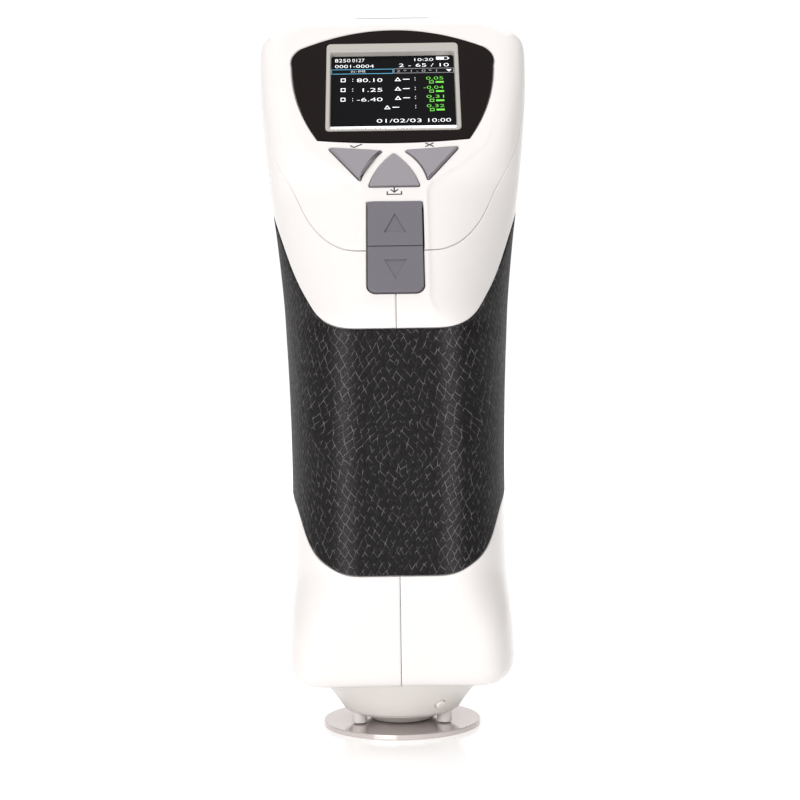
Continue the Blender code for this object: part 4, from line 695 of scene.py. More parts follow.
def panel_outline():
    """The black panel: a sagging base, bowed sides and an arched top."""
    base_half, base_up = 21.7 * MM, 59.1 * MM
    side_half, side_up = 29.8 * MM, 87.0 * MM
    top_radius, shoulder_half, apex_up = 55.0 * MM, 27.4 * MM, 101.7 * MM
    base = bowed((-base_half, base_up), (base_half, base_up), 1.2 * MM, 24)
    side = bowed((base_half, base_up), (side_half, side_up), 1.9 * MM, 24)
    drop = top_radius - math.sqrt(top_radius ** 2 - shoulder_half ** 2)
    shoulder = (shoulder_half, apex_up - drop)
    corner = bowed((side_half, side_up), shoulder, 1.2 * MM, 12)
    arch = bowed(shoulder, (-shoulder[0], shoulder[1]), drop, 48)
    left = [(-x, y) for x, y in reversed(side[1:] + corner)]
    return base + side + corner + arch + [(-shoulder[0], shoulder[1])] + left


def side_key_outline(sign):
    """A three sided key whose inner side is hollow, left of the middle for sign -1."""
    inner = (3.35 * MM, 54.4 * MM)
    point = (9.6 * MM, 43.9 * MM)
    outline = [(18.6 * MM, 55.7 * MM), inner]
    outline += bowed(inner, point, -1.1 * MM)[1:] + [point]
    return rounded([(sign * x, y) for x, y in outline], KEY_CORNER)


def save_key_outline():
    """The middle key: a triangle with bowed sides."""
    left, right = (-7.1 * MM, 41.7 * MM), (7.1 * MM, 41.7 * MM)
    apex = (0, 53.5 * MM)
    return rounded([left] + bowed(right, apex, 1.0 * MM) + bowed(apex, left, 1.0 * MM), KEY_CORNER)


def rim_outline(spread):
    """The rim's rounded outer outline, grown by a spread."""
    return rounded(rectangle(RIM_HALF_WIDTH + spread, RIM_LOW_UP - spread, RIM_HIGH_UP + spread),
                   1.5 * MM + spread)


def window_outline(spread):
    """The rim's opening."""
    return rounded([(-RIM_HALF_WIDTH + RIM_SIDE - spread, RIM_LOW_UP + RIM_FOOT - spread),
                    (RIM_HALF_WIDTH - RIM_SIDE + spread, RIM_LOW_UP + RIM_FOOT - spread),
                    (RIM_HALF_WIDTH - RIM_SIDE + spread, RIM_HIGH_UP - RIM_TOP + spread),
                    (-RIM_HALF_WIDTH + RIM_SIDE - spread, RIM_HIGH_UP - RIM_TOP + spread)],
                   0.8 * MM + spread)


def flared_cutter(name, outline, depth, place, flare=0.22 * MM):
    """A cutter that also breaks the edge of the opening that it leaves."""
    loops = [at(outline, -depth), at(outline, -flare), at(grown(outline, flare), 0),
             at(grown(outline, flare), OVERRUN)]
    return extruded_loops(name, loops, place)


# ---------------------------------------------------------------- materials

def new_group(name, inputs, outputs):
    """A shader node group with named inputs and outputs."""
    tree = bpy.data.node_groups.new(name, "ShaderNodeTree")
    for label, value in inputs.items():
        kind = "NodeSocketColor" if isinstance(value, tuple) else "NodeSocketFloat"
        socket = tree.interface.new_socket(label, in_out="INPUT", socket_type=kind)
        socket.default_value = value
    for label, kind in outputs.items():
        tree.interface.new_socket(label, in_out="OUTPUT", socket_type=kind)
    return tree


def add_node(tree, kind, place, values=None, **settings):
    """Add a node with its settings and unlinked values."""
    made = tree.nodes.new(kind)
    made.location = place
    for label, value in settings.items():
        setattr(made, label, value)
    for label, value in (values or {}).items():
        made.inputs[label].default_value = value
    return made


def ramp_stops(made, stops):
    """Set the stops of a colour ramp."""
    ramp = made.color_ramp
    while len(ramp.elements) < len(stops):
        ramp.elements.new(0.5)
    for element, (position, value) in zip(ramp.elements, stops):
        element.position = position
        element.color = (value, value, value, 1) if isinstance(value, (int, float)) else (*value, 1)


def moulded_group():
    """Moulded plastic: soft tone mottling, fine texture and uneven gloss."""
    tree = new_group("moulded_finish",
                     {"Color": (0.8, 0.8, 0.8, 1), "Deep": (0.7, 0.7, 0.7, 1), "Mottle": 0.1, "Gloss": 0.3,
                      "Gloss spread": 0.06, "Grain scale": 2500.0, "Grain": 0.2},
                     {"Color": "NodeSocketColor", "Roughness": "NodeSocketFloat",
                      "Height": "NodeSocketFloat"})
    link = tree.links.new
    given = add_node(tree, "NodeGroupInput", (-900, 0))
    result = add_node(tree, "NodeGroupOutput", (500, 0))
    place = add_node(tree, "ShaderNodeTexCoord", (-900, 300))
    wide = add_node(tree, "ShaderNodeTexNoise", (-650, 300), {"Scale": 55.0, "Detail": 3.0})
    fine = add_node(tree, "ShaderNodeTexNoise", (-650, 50), {"Detail": 2.0, "Roughness": 0.6})
    smear = add_node(tree, "ShaderNodeTexNoise", (-650, -250),
                     {"Scale": 160.0, "Detail": 4.0, "Roughness": 0.65})
    link(place.outputs["Object"], wide.inputs["Vector"])
    link(place.outputs["Object"], fine.inputs["Vector"])
    link(place.outputs["Object"], smear.inputs["Vector"])
    link(given.outputs["Grain scale"], fine.inputs["Scale"])
    share = add_node(tree, "ShaderNodeMath", (-400, 300), operation="MULTIPLY")
    link(wide.outputs["Fac"], share.inputs[0])
    link(given.outputs["Mottle"], share.inputs[1])
    tone = add_node(tree, "ShaderNodeMix", (-150, 300), data_type="RGBA")
    link(share.outputs[0], tone.inputs["Factor"])
    link(given.outputs["Color"], tone.inputs["A"])
    link(given.outputs["Deep"], tone.inputs["B"])
    link(tone.outputs["Result"], result.inputs["Color"])
    centred = add_node(tree, "ShaderNodeMath", (-400, -250), operation="SUBTRACT")
    centred.inputs[1].default_value = 0.5
    link(smear.outputs["Fac"], centred.inputs[0])
    spread = add_node(tree, "ShaderNodeMath", (-150, -250), operation="MULTIPLY_ADD")
    link(centred.outputs[0], spread.inputs[0])
    link(given.outputs["Gloss spread"], spread.inputs[1])
    link(given.outputs["Gloss"], spread.inputs[2])
    link(spread.outputs[0], result.inputs["Roughness"])
    relief = add_node(tree, "ShaderNodeMath", (-150, 0), operation="MULTIPLY")
    link(fine.outputs["Fac"], relief.inputs[0])
    link(given.outputs["Grain"], relief.inputs[1])
    link(relief.outputs[0], result.inputs["Height"])
    return tree


def leather_group():
    """Black leather on its own map: long diamond cells, thin broken creases with a painted highlight, and a
    painted highlight along the ridges.
    """
    tree = new_group("leather_grain",
                     {"Cell width": 2.2, "Cell height": 3.6, "Crease width": 0.07,
                      "Dark": (0.006, 0.005, 0.0055, 1), "Crease painted highlight": (0.2, 0.19, 0.195, 1),
                      "Wear and painted highlight": (0.045, 0.041, 0.043, 1)},
                     {"Color": "NodeSocketColor", "Roughness": "NodeSocketFloat",
                      "Height": "NodeSocketFloat"})
    link = tree.links.new
    given = add_node(tree, "NodeGroupInput", (-1900, 0))
    result = add_node(tree, "NodeGroupOutput", (900, 0))
    place = add_node(tree, "ShaderNodeTexCoord", (-2100, 300))
    parts = add_node(tree, "ShaderNodeSeparateXYZ", (-1900, 300))
    link(place.outputs["UV"], parts.inputs["Vector"])
    wobble = add_node(tree, "ShaderNodeTexNoise", (-1700, 700), {"Scale": 130.0, "Detail": 2.0},
                      noise_dimensions="2D")
    link(place.outputs["UV"], wobble.inputs["Vector"])
    scaled = []
    for row, (axis, size) in enumerate((("X", "Cell width"), ("Y", "Cell height"))):
        count = add_node(tree, "ShaderNodeMath", (-1700, 300 - 200 * row), operation="DIVIDE")
        count.inputs[0].default_value = 1414.0
        link(given.outputs[size], count.inputs[1])
        along = add_node(tree, "ShaderNodeMath", (-1500, 300 - 200 * row), operation="MULTIPLY")
        link(parts.outputs[axis], along.inputs[0])
        link(count.outputs[0], along.inputs[1])
        scaled.append(along)
    flat = add_node(tree, "ShaderNodeCombineXYZ", (-1300, 300))
    link(scaled[0].outputs[0], flat.inputs["X"])
    link(scaled[1].outputs[0], flat.inputs["Y"])
    shift = add_node(tree, "ShaderNodeVectorMath", (-1300, 700), operation="SCALE")
    shift.inputs["Scale"].default_value = 0.6
    link(wobble.outputs["Color"], shift.inputs[0])
    moved = add_node(tree, "ShaderNodeVectorMath", (-1100, 400), operation="ADD")
    link(flat.outputs["Vector"], moved.inputs[0])
    link(shift.outputs["Vector"], moved.inputs[1])
    turned = add_node(tree, "ShaderNodeMapping", (-900, 400))
    turned.inputs["Rotation"].default_value = (0, 0, math.radians(45))
    link(moved.outputs["Vector"], turned.inputs["Vector"])
    cells = add_node(tree, "ShaderNodeTexVoronoi", (-700, 500), {"Scale": 1.0, "Randomness": 0.3},
                     feature="DISTANCE_TO_EDGE", voronoi_dimensions="2D")
    link(turned.outputs["Vector"], cells.inputs["Vector"])
    small = add_node(tree, "ShaderNodeTexVoronoi", (-700, 150), {"Scale": 2.6, "Randomness": 1.0},
                     feature="DISTANCE_TO_EDGE", voronoi_dimensions="2D")
    link(turned.outputs["Vector"], small.inputs["Vector"])
    pores = add_node(tree, "ShaderNodeTexNoise", (-700, -200), {"Scale": 3000.0, "Detail": 2.0},
                     noise_dimensions="2D")
    link(place.outputs["UV"], pores.inputs["Vector"])
    dome = add_node(tree, "ShaderNodeValToRGB", (-450, 500))
    ramp_stops(dome, ((0.0, 0.0), (0.12, 0.6), (0.5, 1.0)))
    link(cells.outputs["Distance"], dome.inputs["Fac"])
    small_dome = add_node(tree, "ShaderNodeValToRGB", (-450, 150))
    ramp_stops(small_dome, ((0.0, 0.0), (0.12, 0.75), (0.45, 1.0)))
    link(small.outputs["Distance"], small_dome.inputs["Fac"])
    both = add_node(tree, "ShaderNodeMath", (-100, 300), operation="MULTIPLY_ADD")
    both.inputs[1].default_value = 0.3
    link(small_dome.outputs["Color"], both.inputs[0])
    link(dome.outputs["Color"], both.inputs[2])
    height = add_node(tree, "ShaderNodeMath", (150, 300), operation="MULTIPLY_ADD")
    height.inputs[1].default_value = 0.14
    link(pores.outputs["Fac"], height.inputs[0])
    link(both.outputs[0], height.inputs[2])
    link(height.outputs[0], result.inputs["Height"])
    # Pale colour along the cell edges: painted highlight of the creases catching the light, broken up by
    # noise.
    crease = add_node(tree, "ShaderNodeMapRange", (-450, 900),
                      {"From Min": 0.0, "To Min": 1.0, "To Max": 0.0})
    link(cells.outputs["Distance"], crease.inputs["Value"])
    link(given.outputs["Crease width"], crease.inputs["From Max"])
    patch = add_node(tree, "ShaderNodeTexNoise", (-900, 1100), {"Scale": 520.0, "Detail": 3.0},
                     noise_dimensions="2D")
    link(place.outputs["UV"], patch.inputs["Vector"])
    # Mask along the ridges at the front facet's edges: it strengthens the crease highlight and lightens the
    # cell tops, and both are painted highlights.
    ridge = add_node(tree, "ShaderNodeMapRange", (-1100, 1200),
                     {"From Min": 0.0, "From Max": 0.0042, "To Min": 1.0, "To Max": 0.0},
                     interpolation_type="SMOOTHSTEP")
    ridge_highlight_source = add_node(tree, "ShaderNodeAttribute", (-1900, 1200), attribute_name="ridge_run")
    link(ridge_highlight_source.outputs["Fac"], ridge.inputs["Value"])
    lifted = add_node(tree, "ShaderNodeMath", (-650, 1200), operation="MULTIPLY_ADD")
    lifted.inputs[1].default_value = 0.12
    link(ridge.outputs["Result"], lifted.inputs[0])
    link(patch.outputs["Fac"], lifted.inputs[2])
    broken = add_node(tree, "ShaderNodeMapRange", (-450, 1200), {"From Min": 0.42, "From Max": 0.7})
    link(lifted.outputs[0], broken.inputs["Value"])
    strength = add_node(tree, "ShaderNodeMath", (-100, 900), operation="MULTIPLY")
    link(crease.outputs["Result"], strength.inputs[0])
    link(broken.outputs["Result"], strength.inputs[1])
    # Lighter colour on the cell tops along the ridges: painted highlight.
    ridge_painted_highlight = add_node(tree, "ShaderNodeMath", (-100, 1200), operation="MULTIPLY")
    link(ridge.outputs["Result"], ridge_painted_highlight.inputs[0])
    link(small_dome.outputs["Color"], ridge_painted_highlight.inputs[1])
    base = add_node(tree, "ShaderNodeMix", (150, 1100), data_type="RGBA")
    link(ridge_painted_highlight.outputs[0], base.inputs["Factor"])
    link(given.outputs["Dark"], base.inputs["A"])
    link(given.outputs["Wear and painted highlight"], base.inputs["B"])
    # The creases take the pale colour: painted highlight.
    tone = add_node(tree, "ShaderNodeMix", (400, 800), data_type="RGBA")
    link(strength.outputs[0], tone.inputs["Factor"])
    link(base.outputs["Result"], tone.inputs["A"])
    link(given.outputs["Crease painted highlight"], tone.inputs["B"])
    link(tone.outputs["Result"], result.inputs["Color"])
    gloss = add_node(tree, "ShaderNodeMapRange", (200, -100), {"To Min": 0.6, "To Max": 0.42})
    link(dome.outputs["Color"], gloss.inputs["Value"])
    link(gloss.outputs["Result"], result.inputs["Roughness"])
    return tree


def turned_metal_group():
    """Metal turned on a lathe: fine rings about the upright axis and light wipe marks."""
    tree = new_group("turned_metal",
                     {"Color": (0.6, 0.6, 0.6, 1), "Wear and painted highlight": (0.5, 0.5, 0.5, 1), "Ring scale": 1600.0,
                      "Gloss": 0.2, "Gloss spread": 0.12},
                     {"Color": "NodeSocketColor", "Roughness": "NodeSocketFloat",
                      "Height": "NodeSocketFloat"})
    link = tree.links.new
    given = add_node(tree, "NodeGroupInput", (-900, 0))
    result = add_node(tree, "NodeGroupOutput", (500, 0))
    place = add_node(tree, "ShaderNodeTexCoord", (-900, 300))
    rings = add_node(tree, "ShaderNodeTexWave", (-650, 300), {"Distortion": 0.6, "Detail": 2.0},
                     wave_type="RINGS", rings_direction="Z")
    link(place.outputs["Object"], rings.inputs["Vector"])
    link(given.outputs["Ring scale"], rings.inputs["Scale"])
    wipes = add_node(tree, "ShaderNodeTexNoise", (-650, -100),
                     {"Scale": 300.0, "Detail": 5.0, "Roughness": 0.7})
    link(place.outputs["Object"], wipes.inputs["Vector"])
    # Wipe marks mix in the metal's worn tone: wear of the metal.
    tone = add_node(tree, "ShaderNodeMix", (-200, 200), data_type="RGBA")
    link(wipes.outputs["Fac"], tone.inputs["Factor"])
    link(given.outputs["Color"], tone.inputs["A"])
    link(given.outputs["Wear and painted highlight"], tone.inputs["B"])
    link(tone.outputs["Result"], result.inputs["Color"])
    spread = add_node(tree, "ShaderNodeMath", (-200, -100), operation="MULTIPLY_ADD")
    link(wipes.outputs["Fac"], spread.inputs[0])
    link(given.outputs["Gloss spread"], spread.inputs[1])
    link(given.outputs["Gloss"], spread.inputs[2])
    link(spread.outputs[0], result.inputs["Roughness"])
    link(rings.outputs["Fac"], result.inputs["Height"])
    return tree


def board_group():
    """Circuit board: solder mask over copper tracks, with a weave under it."""
    tree = new_group("board_tracks",
                     {"Mask": (0.02, 0.14, 0.05, 1), "Track": (0.05, 0.26, 0.09, 1), "Track scale": 420.0},
                     {"Color": "NodeSocketColor", "Roughness": "NodeSocketFloat",
                      "Height": "NodeSocketFloat"})
    link = tree.links.new
    given = add_node(tree, "NodeGroupInput", (-900, 0))
    result = add_node(tree, "NodeGroupOutput", (500, 0))
    place = add_node(tree, "ShaderNodeTexCoord", (-900, 300))
    tracks = add_node(tree, "ShaderNodeTexVoronoi", (-650, 300), {"Randomness": 0.55},
                      feature="DISTANCE_TO_EDGE",
                      distance="MANHATTAN")
    link(place.outputs["Object"], tracks.inputs["Vector"])
    link(given.outputs["Track scale"], tracks.inputs["Scale"])
    line = add_node(tree, "ShaderNodeMapRange", (-400, 300),
                    {"From Min": 0.03, "From Max": 0.08, "To Min": 1.0, "To Max": 0.0})
    link(tracks.outputs["Distance"], line.inputs["Value"])
    tone = add_node(tree, "ShaderNodeMix", (-150, 300), data_type="RGBA")
    link(line.outputs["Result"], tone.inputs["Factor"])
    link(given.outputs["Mask"], tone.inputs["A"])
    link(given.outputs["Track"], tone.inputs["B"])
    link(tone.outputs["Result"], result.inputs["Color"])
    gloss = add_node(tree, "ShaderNodeMapRange", (-150, 0), {"To Min": 0.42, "To Max": 0.3})
    link(line.outputs["Result"], gloss.inputs["Value"])
    link(gloss.outputs["Result"], result.inputs["Roughness"])
    link(line.outputs["Result"], result.inputs["Height"])
    return tree


GROUPS = {"moulded": moulded_group(), "leather": leather_group(), "turned": turned_metal_group(),
          "board": board_group()}


def finish_of(name, group, values, bump=0.1, bump_depth=0.02 * MM, **shader_values):
    """A Principled material fed by one of the shared groups."""
    made = bpy.data.materials.get(name) or bpy.data.materials.new(name)
    made.use_nodes = True
    tree = made.node_tree
    tree.nodes.clear()
    result = add_node(tree, "ShaderNodeOutputMaterial", (600, 0))
    shader = add_node(tree, "ShaderNodeBsdfPrincipled", (250, 0))
    tree.links.new(shader.outputs["BSDF"], result.inputs["Surface"])
    feed = add_node(tree, "ShaderNodeGroup", (-300, 0), node_tree=GROUPS[group])
    for label, value in values.items():
        feed.inputs[label].default_value = value
    tree.links.new(feed.outputs["Color"], shader.inputs["Base Color"])
    tree.links.new(feed.outputs["Roughness"], shader.inputs["Roughness"])
    if bump:
        relief = add_node(tree, "ShaderNodeBump", (0, -250), {"Strength": bump, "Distance": bump_depth})
        tree.links.new(feed.outputs["Height"], relief.inputs["Height"])
        tree.links.new(relief.outputs["Normal"], shader.inputs["Normal"])
    for label, value in shader_values.items():
        shader.inputs[label.replace("_", " ")].default_value = value
    return made


def plastic(name, colour, deep, gloss, spread=0.05, mottle=0.5, scale=2500.0, grain=1.0, bump=0.05, **more):
    """Moulded plastic or rubber of a colour and gloss."""
    return finish_of(name, "moulded",
                     {"Color": (*colour, 1), "Deep": (*deep, 1), "Mottle": mottle, "Gloss": gloss,
                      "Gloss spread": spread, "Grain scale": scale, "Grain": grain}, bump, **more)


def glowing(name, colour, strength):
    """A lit mark of the screen, with the faint unevenness of its backlight."""
    made = plastic(name, colour, tuple(0.85 * part for part in colour), 0.3, bump=0)
    tree = made.node_tree
    shader = next(item for item in tree.nodes if item.type == "BSDF_PRINCIPLED")
    feed = next(item for item in tree.nodes if item.type == "GROUP")
    tree.links.new(feed.outputs["Color"], shader.inputs["Emission Color"])
    shader.inputs["Emission Strength"].default_value = strength
    return made


WHITE = plastic("white_shell", (0.88, 0.85, 0.835), (0.85, 0.815, 0.80), 0.24, 0.05, 0.6, 1800.0, 1.0, 0.03,
                Coat_Weight=0.25, Coat_Roughness=0.08)
LEATHER = finish_of("black_leather", "leather", {}, 0.9, 0.16 * MM, Specular_IOR_Level=0.2)
PANEL_BLACK = plastic("panel_black", (0.012, 0.009, 0.009), (0.018, 0.013, 0.012), 0.1, 0.03, 0.5, 2500.0,
                      1.0,
                      0.01, Specular_IOR_Level=0.08)
RIM_GREY = plastic("rim_grey", (0.5, 0.475, 0.435), (0.44, 0.42, 0.39), 0.36, 0.08, 0.5, 4000.0, 1.0, 0.08)
SCREEN_BLACK = plastic("screen", (0.004, 0.004, 0.005), (0.006, 0.006, 0.008), 0.12, 0.02, 0.5, bump=0,
                       Specular_IOR_Level=0.12)
KEY_GREY = plastic("key_grey", (0.305, 0.29, 0.315), (0.28, 0.265, 0.29), 0.48, 0.08, 0.6, 5000.0, 1.0,
                   0.12)
ARROW_GREY = plastic("arrow_key_grey", (0.165, 0.155, 0.18), (0.145, 0.137, 0.16), 0.46, 0.08, 0.6,
                     5000.0, 1.0,
                     0.12)
# Warm beige-white, set darker than the shell: its own warm tone plus painted shade of the nose under the
# body.
NOSE_BEIGE_PAINTED_SHADE = plastic("nose_white", (0.8, 0.77, 0.735), (0.76, 0.73, 0.69), 0.34, 0.06, 0.6, 2500.0, 1.0,
                     0.05)
PLATE_METAL = finish_of("plate_metal", "turned",
                        {"Color": (0.66, 0.6, 0.585, 1), "Wear and painted highlight": (0.6, 0.545, 0.53, 1), "Gloss": 0.07,
                         "Gloss spread": 0.08}, 0.02, 0.004 * MM, Metallic=0.5)
BOARD_GREEN = finish_of("board_green", "board", {}, 0.2, 0.03 * MM)
SPHERE_WHITE = plastic("sphere_white", (0.9, 0.9, 0.88), (0.84, 0.84, 0.82), 0.75, 0.1, 0.7, 6000.0, 1.0,
                       0.25)
CHASSIS_GREY = plastic("chassis_grey", (0.19, 0.19, 0.2), (0.15, 0.15, 0.16), 0.6, 0.12, 0.7, 3000.0, 1.0,
                       0.2)
STEEL = finish_of("bright_steel", "turned",
                  {"Color": (0.62, 0.62, 0.63, 1), "Wear and painted highlight": (0.5, 0.5, 0.52, 1), "Gloss": 0.22,
                   "Gloss spread": 0.14}, 0.05, 0.01 * MM, Metallic=1.0)
CELL_BLUE = plastic("cell_sleeve", (0.05, 0.12, 0.4), (0.04, 0.09, 0.33), 0.36, 0.1, 0.7, 900.0, 1.0, 0.15)
RUBBER = plastic("soft_rubber", (0.065, 0.065, 0.07), (0.05, 0.05, 0.055), 0.7, 0.14, 0.7, 4000.0, 1.0, 0.3)
GLASS = plastic("lens_glass", (0.9, 0.93, 0.96), (0.88, 0.92, 0.95), 0.04, 0.0, 0.3, bump=0,
                Transmission_Weight=1.0, IOR=1.5)
LABEL_INK = plastic("label_ink", (0.075, 0.07, 0.075), (0.1, 0.095, 0.1), 0.5, 0.1, 0.6, 6000.0, 1.0, 0.1)
LIT_WHITE = glowing("lit_white", (0.82, 0.84, 0.86), 0.85)
LIT_GREEN = glowing("lit_green", (0.12, 0.5, 0.05), 0.9)
LIT_BLUE = glowing("lit_blue", (0.07, 0.28, 0.42), 0.9)
LIT_GREY = glowing("lit_grey", (0.3, 0.3, 0.32), 0.7)
FINISHES = {made.name: made for made in (WHITE, LEATHER, PANEL_BLACK, RIM_GREY, SCREEN_BLACK, KEY_GREY,
                                         ARROW_GREY,
                                         NOSE_BEIGE_PAINTED_SHADE, PLATE_METAL, BOARD_GREEN, SPHERE_WHITE, CHASSIS_GREY,
                                         STEEL,
                                         CELL_BLUE, RUBBER, GLASS)}


def dress(piece, finish, body="case", *nodes):
    """Give a finished piece its material and body, and hide the solids that it stands for."""
    piece.data.materials.clear()
    piece.data.materials.append(finish)
    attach(piece, body)
    if nodes:
        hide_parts(*nodes)
    return piece


# ---------------------------------------------------------------- shells and leather

def arrow_opening():
    """The slot of the two arrow keys."""
    outline = tongue(ARROW_KEY_HALF + GAP, ARROW_KEY_LOW_UP, ARROW_KEY_HIGH_UP, ARROW_KEY_CORNER + GAP)
    return flared_cutter("arrow_slot", outline, WALL + OVERRUN, FACE, 0.2 * MM)


def skin_depth(x, level):
    """How far back the skin is at a place on the back."""
    ring_x, ring_y, _ = half_ring(level)
    rear = ring_y > np.interp(0.99, (0, 1), (0, ring_y[np.argmax(ring_x)]))
    order = np.argsort(ring_x[rear])
    return float(np.interp(abs(x), ring_x[rear][order], ring_y[rear][order]))


COVER_PLACE = (-12.5 * MM, 192.0 * MM)
SLIDER_PLACE = (12.5 * MM, 192.0 * MM)
TEST_CENTRE = 175.0 * MM


def cover_outline(spread):
    """The port cover's outline as seen from behind."""
    corners = rectangle(6.6 * MM + spread, COVER_PLACE[1] - 4.4 * MM - spread,
                        COVER_PLACE[1] + 4.4 * MM + spread,
                        -COVER_PLACE[0])
    return rounded(corners, 1.5 * MM + spread)


def test_outline(spread):
    """The test button's outline."""
    corners = rectangle(7.5 * MM + spread, TEST_CENTRE - 9 * MM - spread, TEST_CENTRE + 9 * MM + spread)
    return rounded(corners, 3.0 * MM + spread)


def moved_up(matrix, distance):
    """A frame moved along its own third axis."""
    return matrix @ Matrix.Translation((0, 0, distance))


def make_front_cover():
    """The head cover with its recess, screen opening and key openings."""
    rows, depths = cover_rows()
    cover = ring_solid("front_cover_skin", rows, depths)
    cut(cover, inner_body())
    cut(cover, flared_cutter("panel_recess", grown(panel_outline(), GAP), PANEL_THICKNESS + GAP, FACE,
                             0.3 * MM))
    screen = rectangle(RIM_HALF_WIDTH + 1.3 * MM, RIM_LOW_UP - 1.3 * MM, RIM_HIGH_UP + 1.3 * MM)
    cut(cover, slab("screen_opening", screen, -WALL - OVERRUN, -PANEL_THICKNESS, FACE))
    for outline in (side_key_outline(-1), side_key_outline(1), save_key_outline()):
        cut(cover, flared_cutter("key_opening", grown(outline, GAP), WALL + OVERRUN, FACE, 0.2 * MM))
    cut(cover, arrow_opening())
    dress(soften(cover, 30), WHITE, "case", "front_cover")


def make_shells():
    """The two body halves with their leather recess and openings."""
    rows, depths = body_rows()
    body = ring_solid("body_skin", rows, depths)
    cut(body, inner_body())
    cut(body, arrow_opening())
    cut(body, flared_cutter("test_opening", test_outline(GAP), WALL + OVERRUN,
                            moved_up(BACK_VIEW, BACK_DEPTH)))
    cut(body, extruded_loops("neck_opening", [at(circle(NECK_RADIUS + GAP), BODY_BOTTOM - OVERRUN),
                                              at(circle(NECK_RADIUS + GAP), BODY_BOTTOM + WALL + OVERRUN)]))
    skin = skin_depth(COVER_PLACE[0], COVER_PLACE[1])
    cut(body, flared_cutter("cover_recess", cover_outline(GAP), 1.0 * MM + GAP, moved_up(BACK_VIEW, skin)))
    mouth = rectangle(4.2 * MM, COVER_PLACE[1] - 2.3 * MM, COVER_PLACE[1] + 2.3 * MM, -COVER_PLACE[0])
    cut(body, slab("port_mouth", rounded(mouth, 1.0 * MM), skin - WALL - OVERRUN, skin, BACK_VIEW))
    skin = skin_depth(SLIDER_PLACE[0], SLIDER_PLACE[1])
    slot = rectangle(3.8 * MM, SLIDER_PLACE[1] - 1.5 * MM, SLIDER_PLACE[1] + 1.5 * MM, -SLIDER_PLACE[0])
    cut(body, flared_cutter("slider_slot", rounded(slot, 0.5 * MM), WALL + OVERRUN,
                            moved_up(BACK_VIEW, skin)))
    for name, node, low, high in (("left_shell_skin", "left_shell", -50 * MM, -CENTRE_HALF_GAP),
                                  ("right_shell_skin", "right_shell", CENTRE_HALF_GAP, 50 * MM)):
        half = copied(body, name)
        boolean(half, box("half", (low, -60 * MM, 0), (high, 60 * MM, 260 * MM)), "INTERSECT")
        dress(soften(half, 30), WHITE, "case", node)
    bpy.data.objects.remove(body, do_unlink=True)


def make_leather():
    """The leather sleeve."""
    dress(soften(leather_sleeve(), 60), LEATHER, "case", "leather_grip")


# ---------------------------------------------------------------- display

def make_display():
    """Panel, raised rim and the screen with its lit marks."""
    panel = extruded_loops("display_panel_face", [
        at(panel_outline(), -PANEL_THICKNESS), at(panel_outline(), -0.12 * MM),
        at(grown(panel_outline(), -0.05 * MM), -0.03 * MM), at(grown(panel_outline(), -0.14 * MM), 0)],
                           FACE)
    cut(panel, slab("rim_hole", rim_outline(0.12 * MM), -OVERRUN, OVERRUN, FACE))
    dress(soften(panel, 25), PANEL_BLACK, "case", "display_panel")
    outer, inner = rim_outline, window_outline
    low = -SCREEN_SINK + 0.1 * MM
    top = RIM_PROUD
    loops = [at(outer(0), low), at(outer(0), top - 0.4 * MM), at(outer(-0.05 * MM), top - 0.2 * MM),
             at(outer(-0.17 * MM), top - 0.05 * MM), at(outer(-0.35 * MM), top),
             at(inner(0.4 * MM), top), at(inner(0.2 * MM), top - 0.05 * MM),
             at(inner(0.07 * MM), top - 0.18 * MM),
             at(inner(0), top - 0.4 * MM), at(inner(-0.1 * MM), low)]
    rim = extruded_loops("display_rim_frame", loops, FACE, closed=True)
    dress(soften(rim, 40), RIM_GREY, "case", "display_rim")
    glass = slab("screen_glass", rectangle(RIM_HALF_WIDTH + 0.9 * MM, RIM_LOW_UP - 0.9 * MM,
                                           RIM_HIGH_UP + 0.9 * MM),
                 -SCREEN_SINK - 3 * MM, -SCREEN_SINK, FACE, 0.1 * MM)
    dress(soften(glass), SCREEN_BLACK, "case", "lcd_module")
    make_screen_marks()


def flat_mark(outline, place=None, lift=0.03 * MM, thick=0.02 * MM):
    """A thin printed or lit shape."""
    return slab("mark", outline, lift - thick, lift, place or SCREEN_PLANE)


SCREEN_PLANE = FACE @ Matrix.Translation((0, 0, -SCREEN_SINK))


def bar(x0, x1, low, high):
    """A lit bar of the screen."""
    return flat_mark([(x0, low), (x1, low), (x1, high), (x0, high)])


def frame_mark(x0, x1, low, high, line=0.16 * MM):
    """A lit outline of a box."""
    return joined("frame", [bar(x0, x1, low, low + line), bar(x0, x1, high - line, high),
                            bar(x0, x0 + line, low + line, high - line),
                            bar(x1 - line, x1, low + line, high - line)])


def figures(text, x0, x1, low, high, place=None):
    """Figures drawn as text, made a mesh and fitted to a box of the screen."""
    deselect_all()
    bpy.ops.object.text_add()
    piece = bpy.context.object
    piece.data.body = text
    piece.data.size = 2 * MM
    piece.data.extrude = 0.01 * MM
    piece.data.offset = -0.022 * MM
    piece.data.resolution_u = 3
    bpy.ops.object.convert(target="MESH")
    piece = start("figures")
    places = np.array([corner.co for corner in piece.data.vertices])
    least, most = places.min(axis=0), places.max(axis=0)
    size = Matrix.Diagonal(((x1 - x0) / (most[0] - least[0]), (high - low) / (most[1] - least[1]), 1, 1))
    piece.data.transform(Matrix.Translation((x0, low, 0.02 * MM)) @ size @ Matrix.Translation((-least[0],
                                                                                               -least[1],
                                                                                               0)))
    piece.data.transform(place or SCREEN_PLANE)
    return piece


def triangle_mark(x, up, half, height):
    """A small outlined triangle of the screen, pointing up."""
    line = 0.22 * MM
    outer = [(x - half, up), (x + half, up), (x, up + height)]
    piece = flat_mark(outer)
    inner = grown(outer, -line)
    cut(piece, slab("hole", inner, -1 * MM, 1 * MM, SCREEN_PLANE))
    return piece


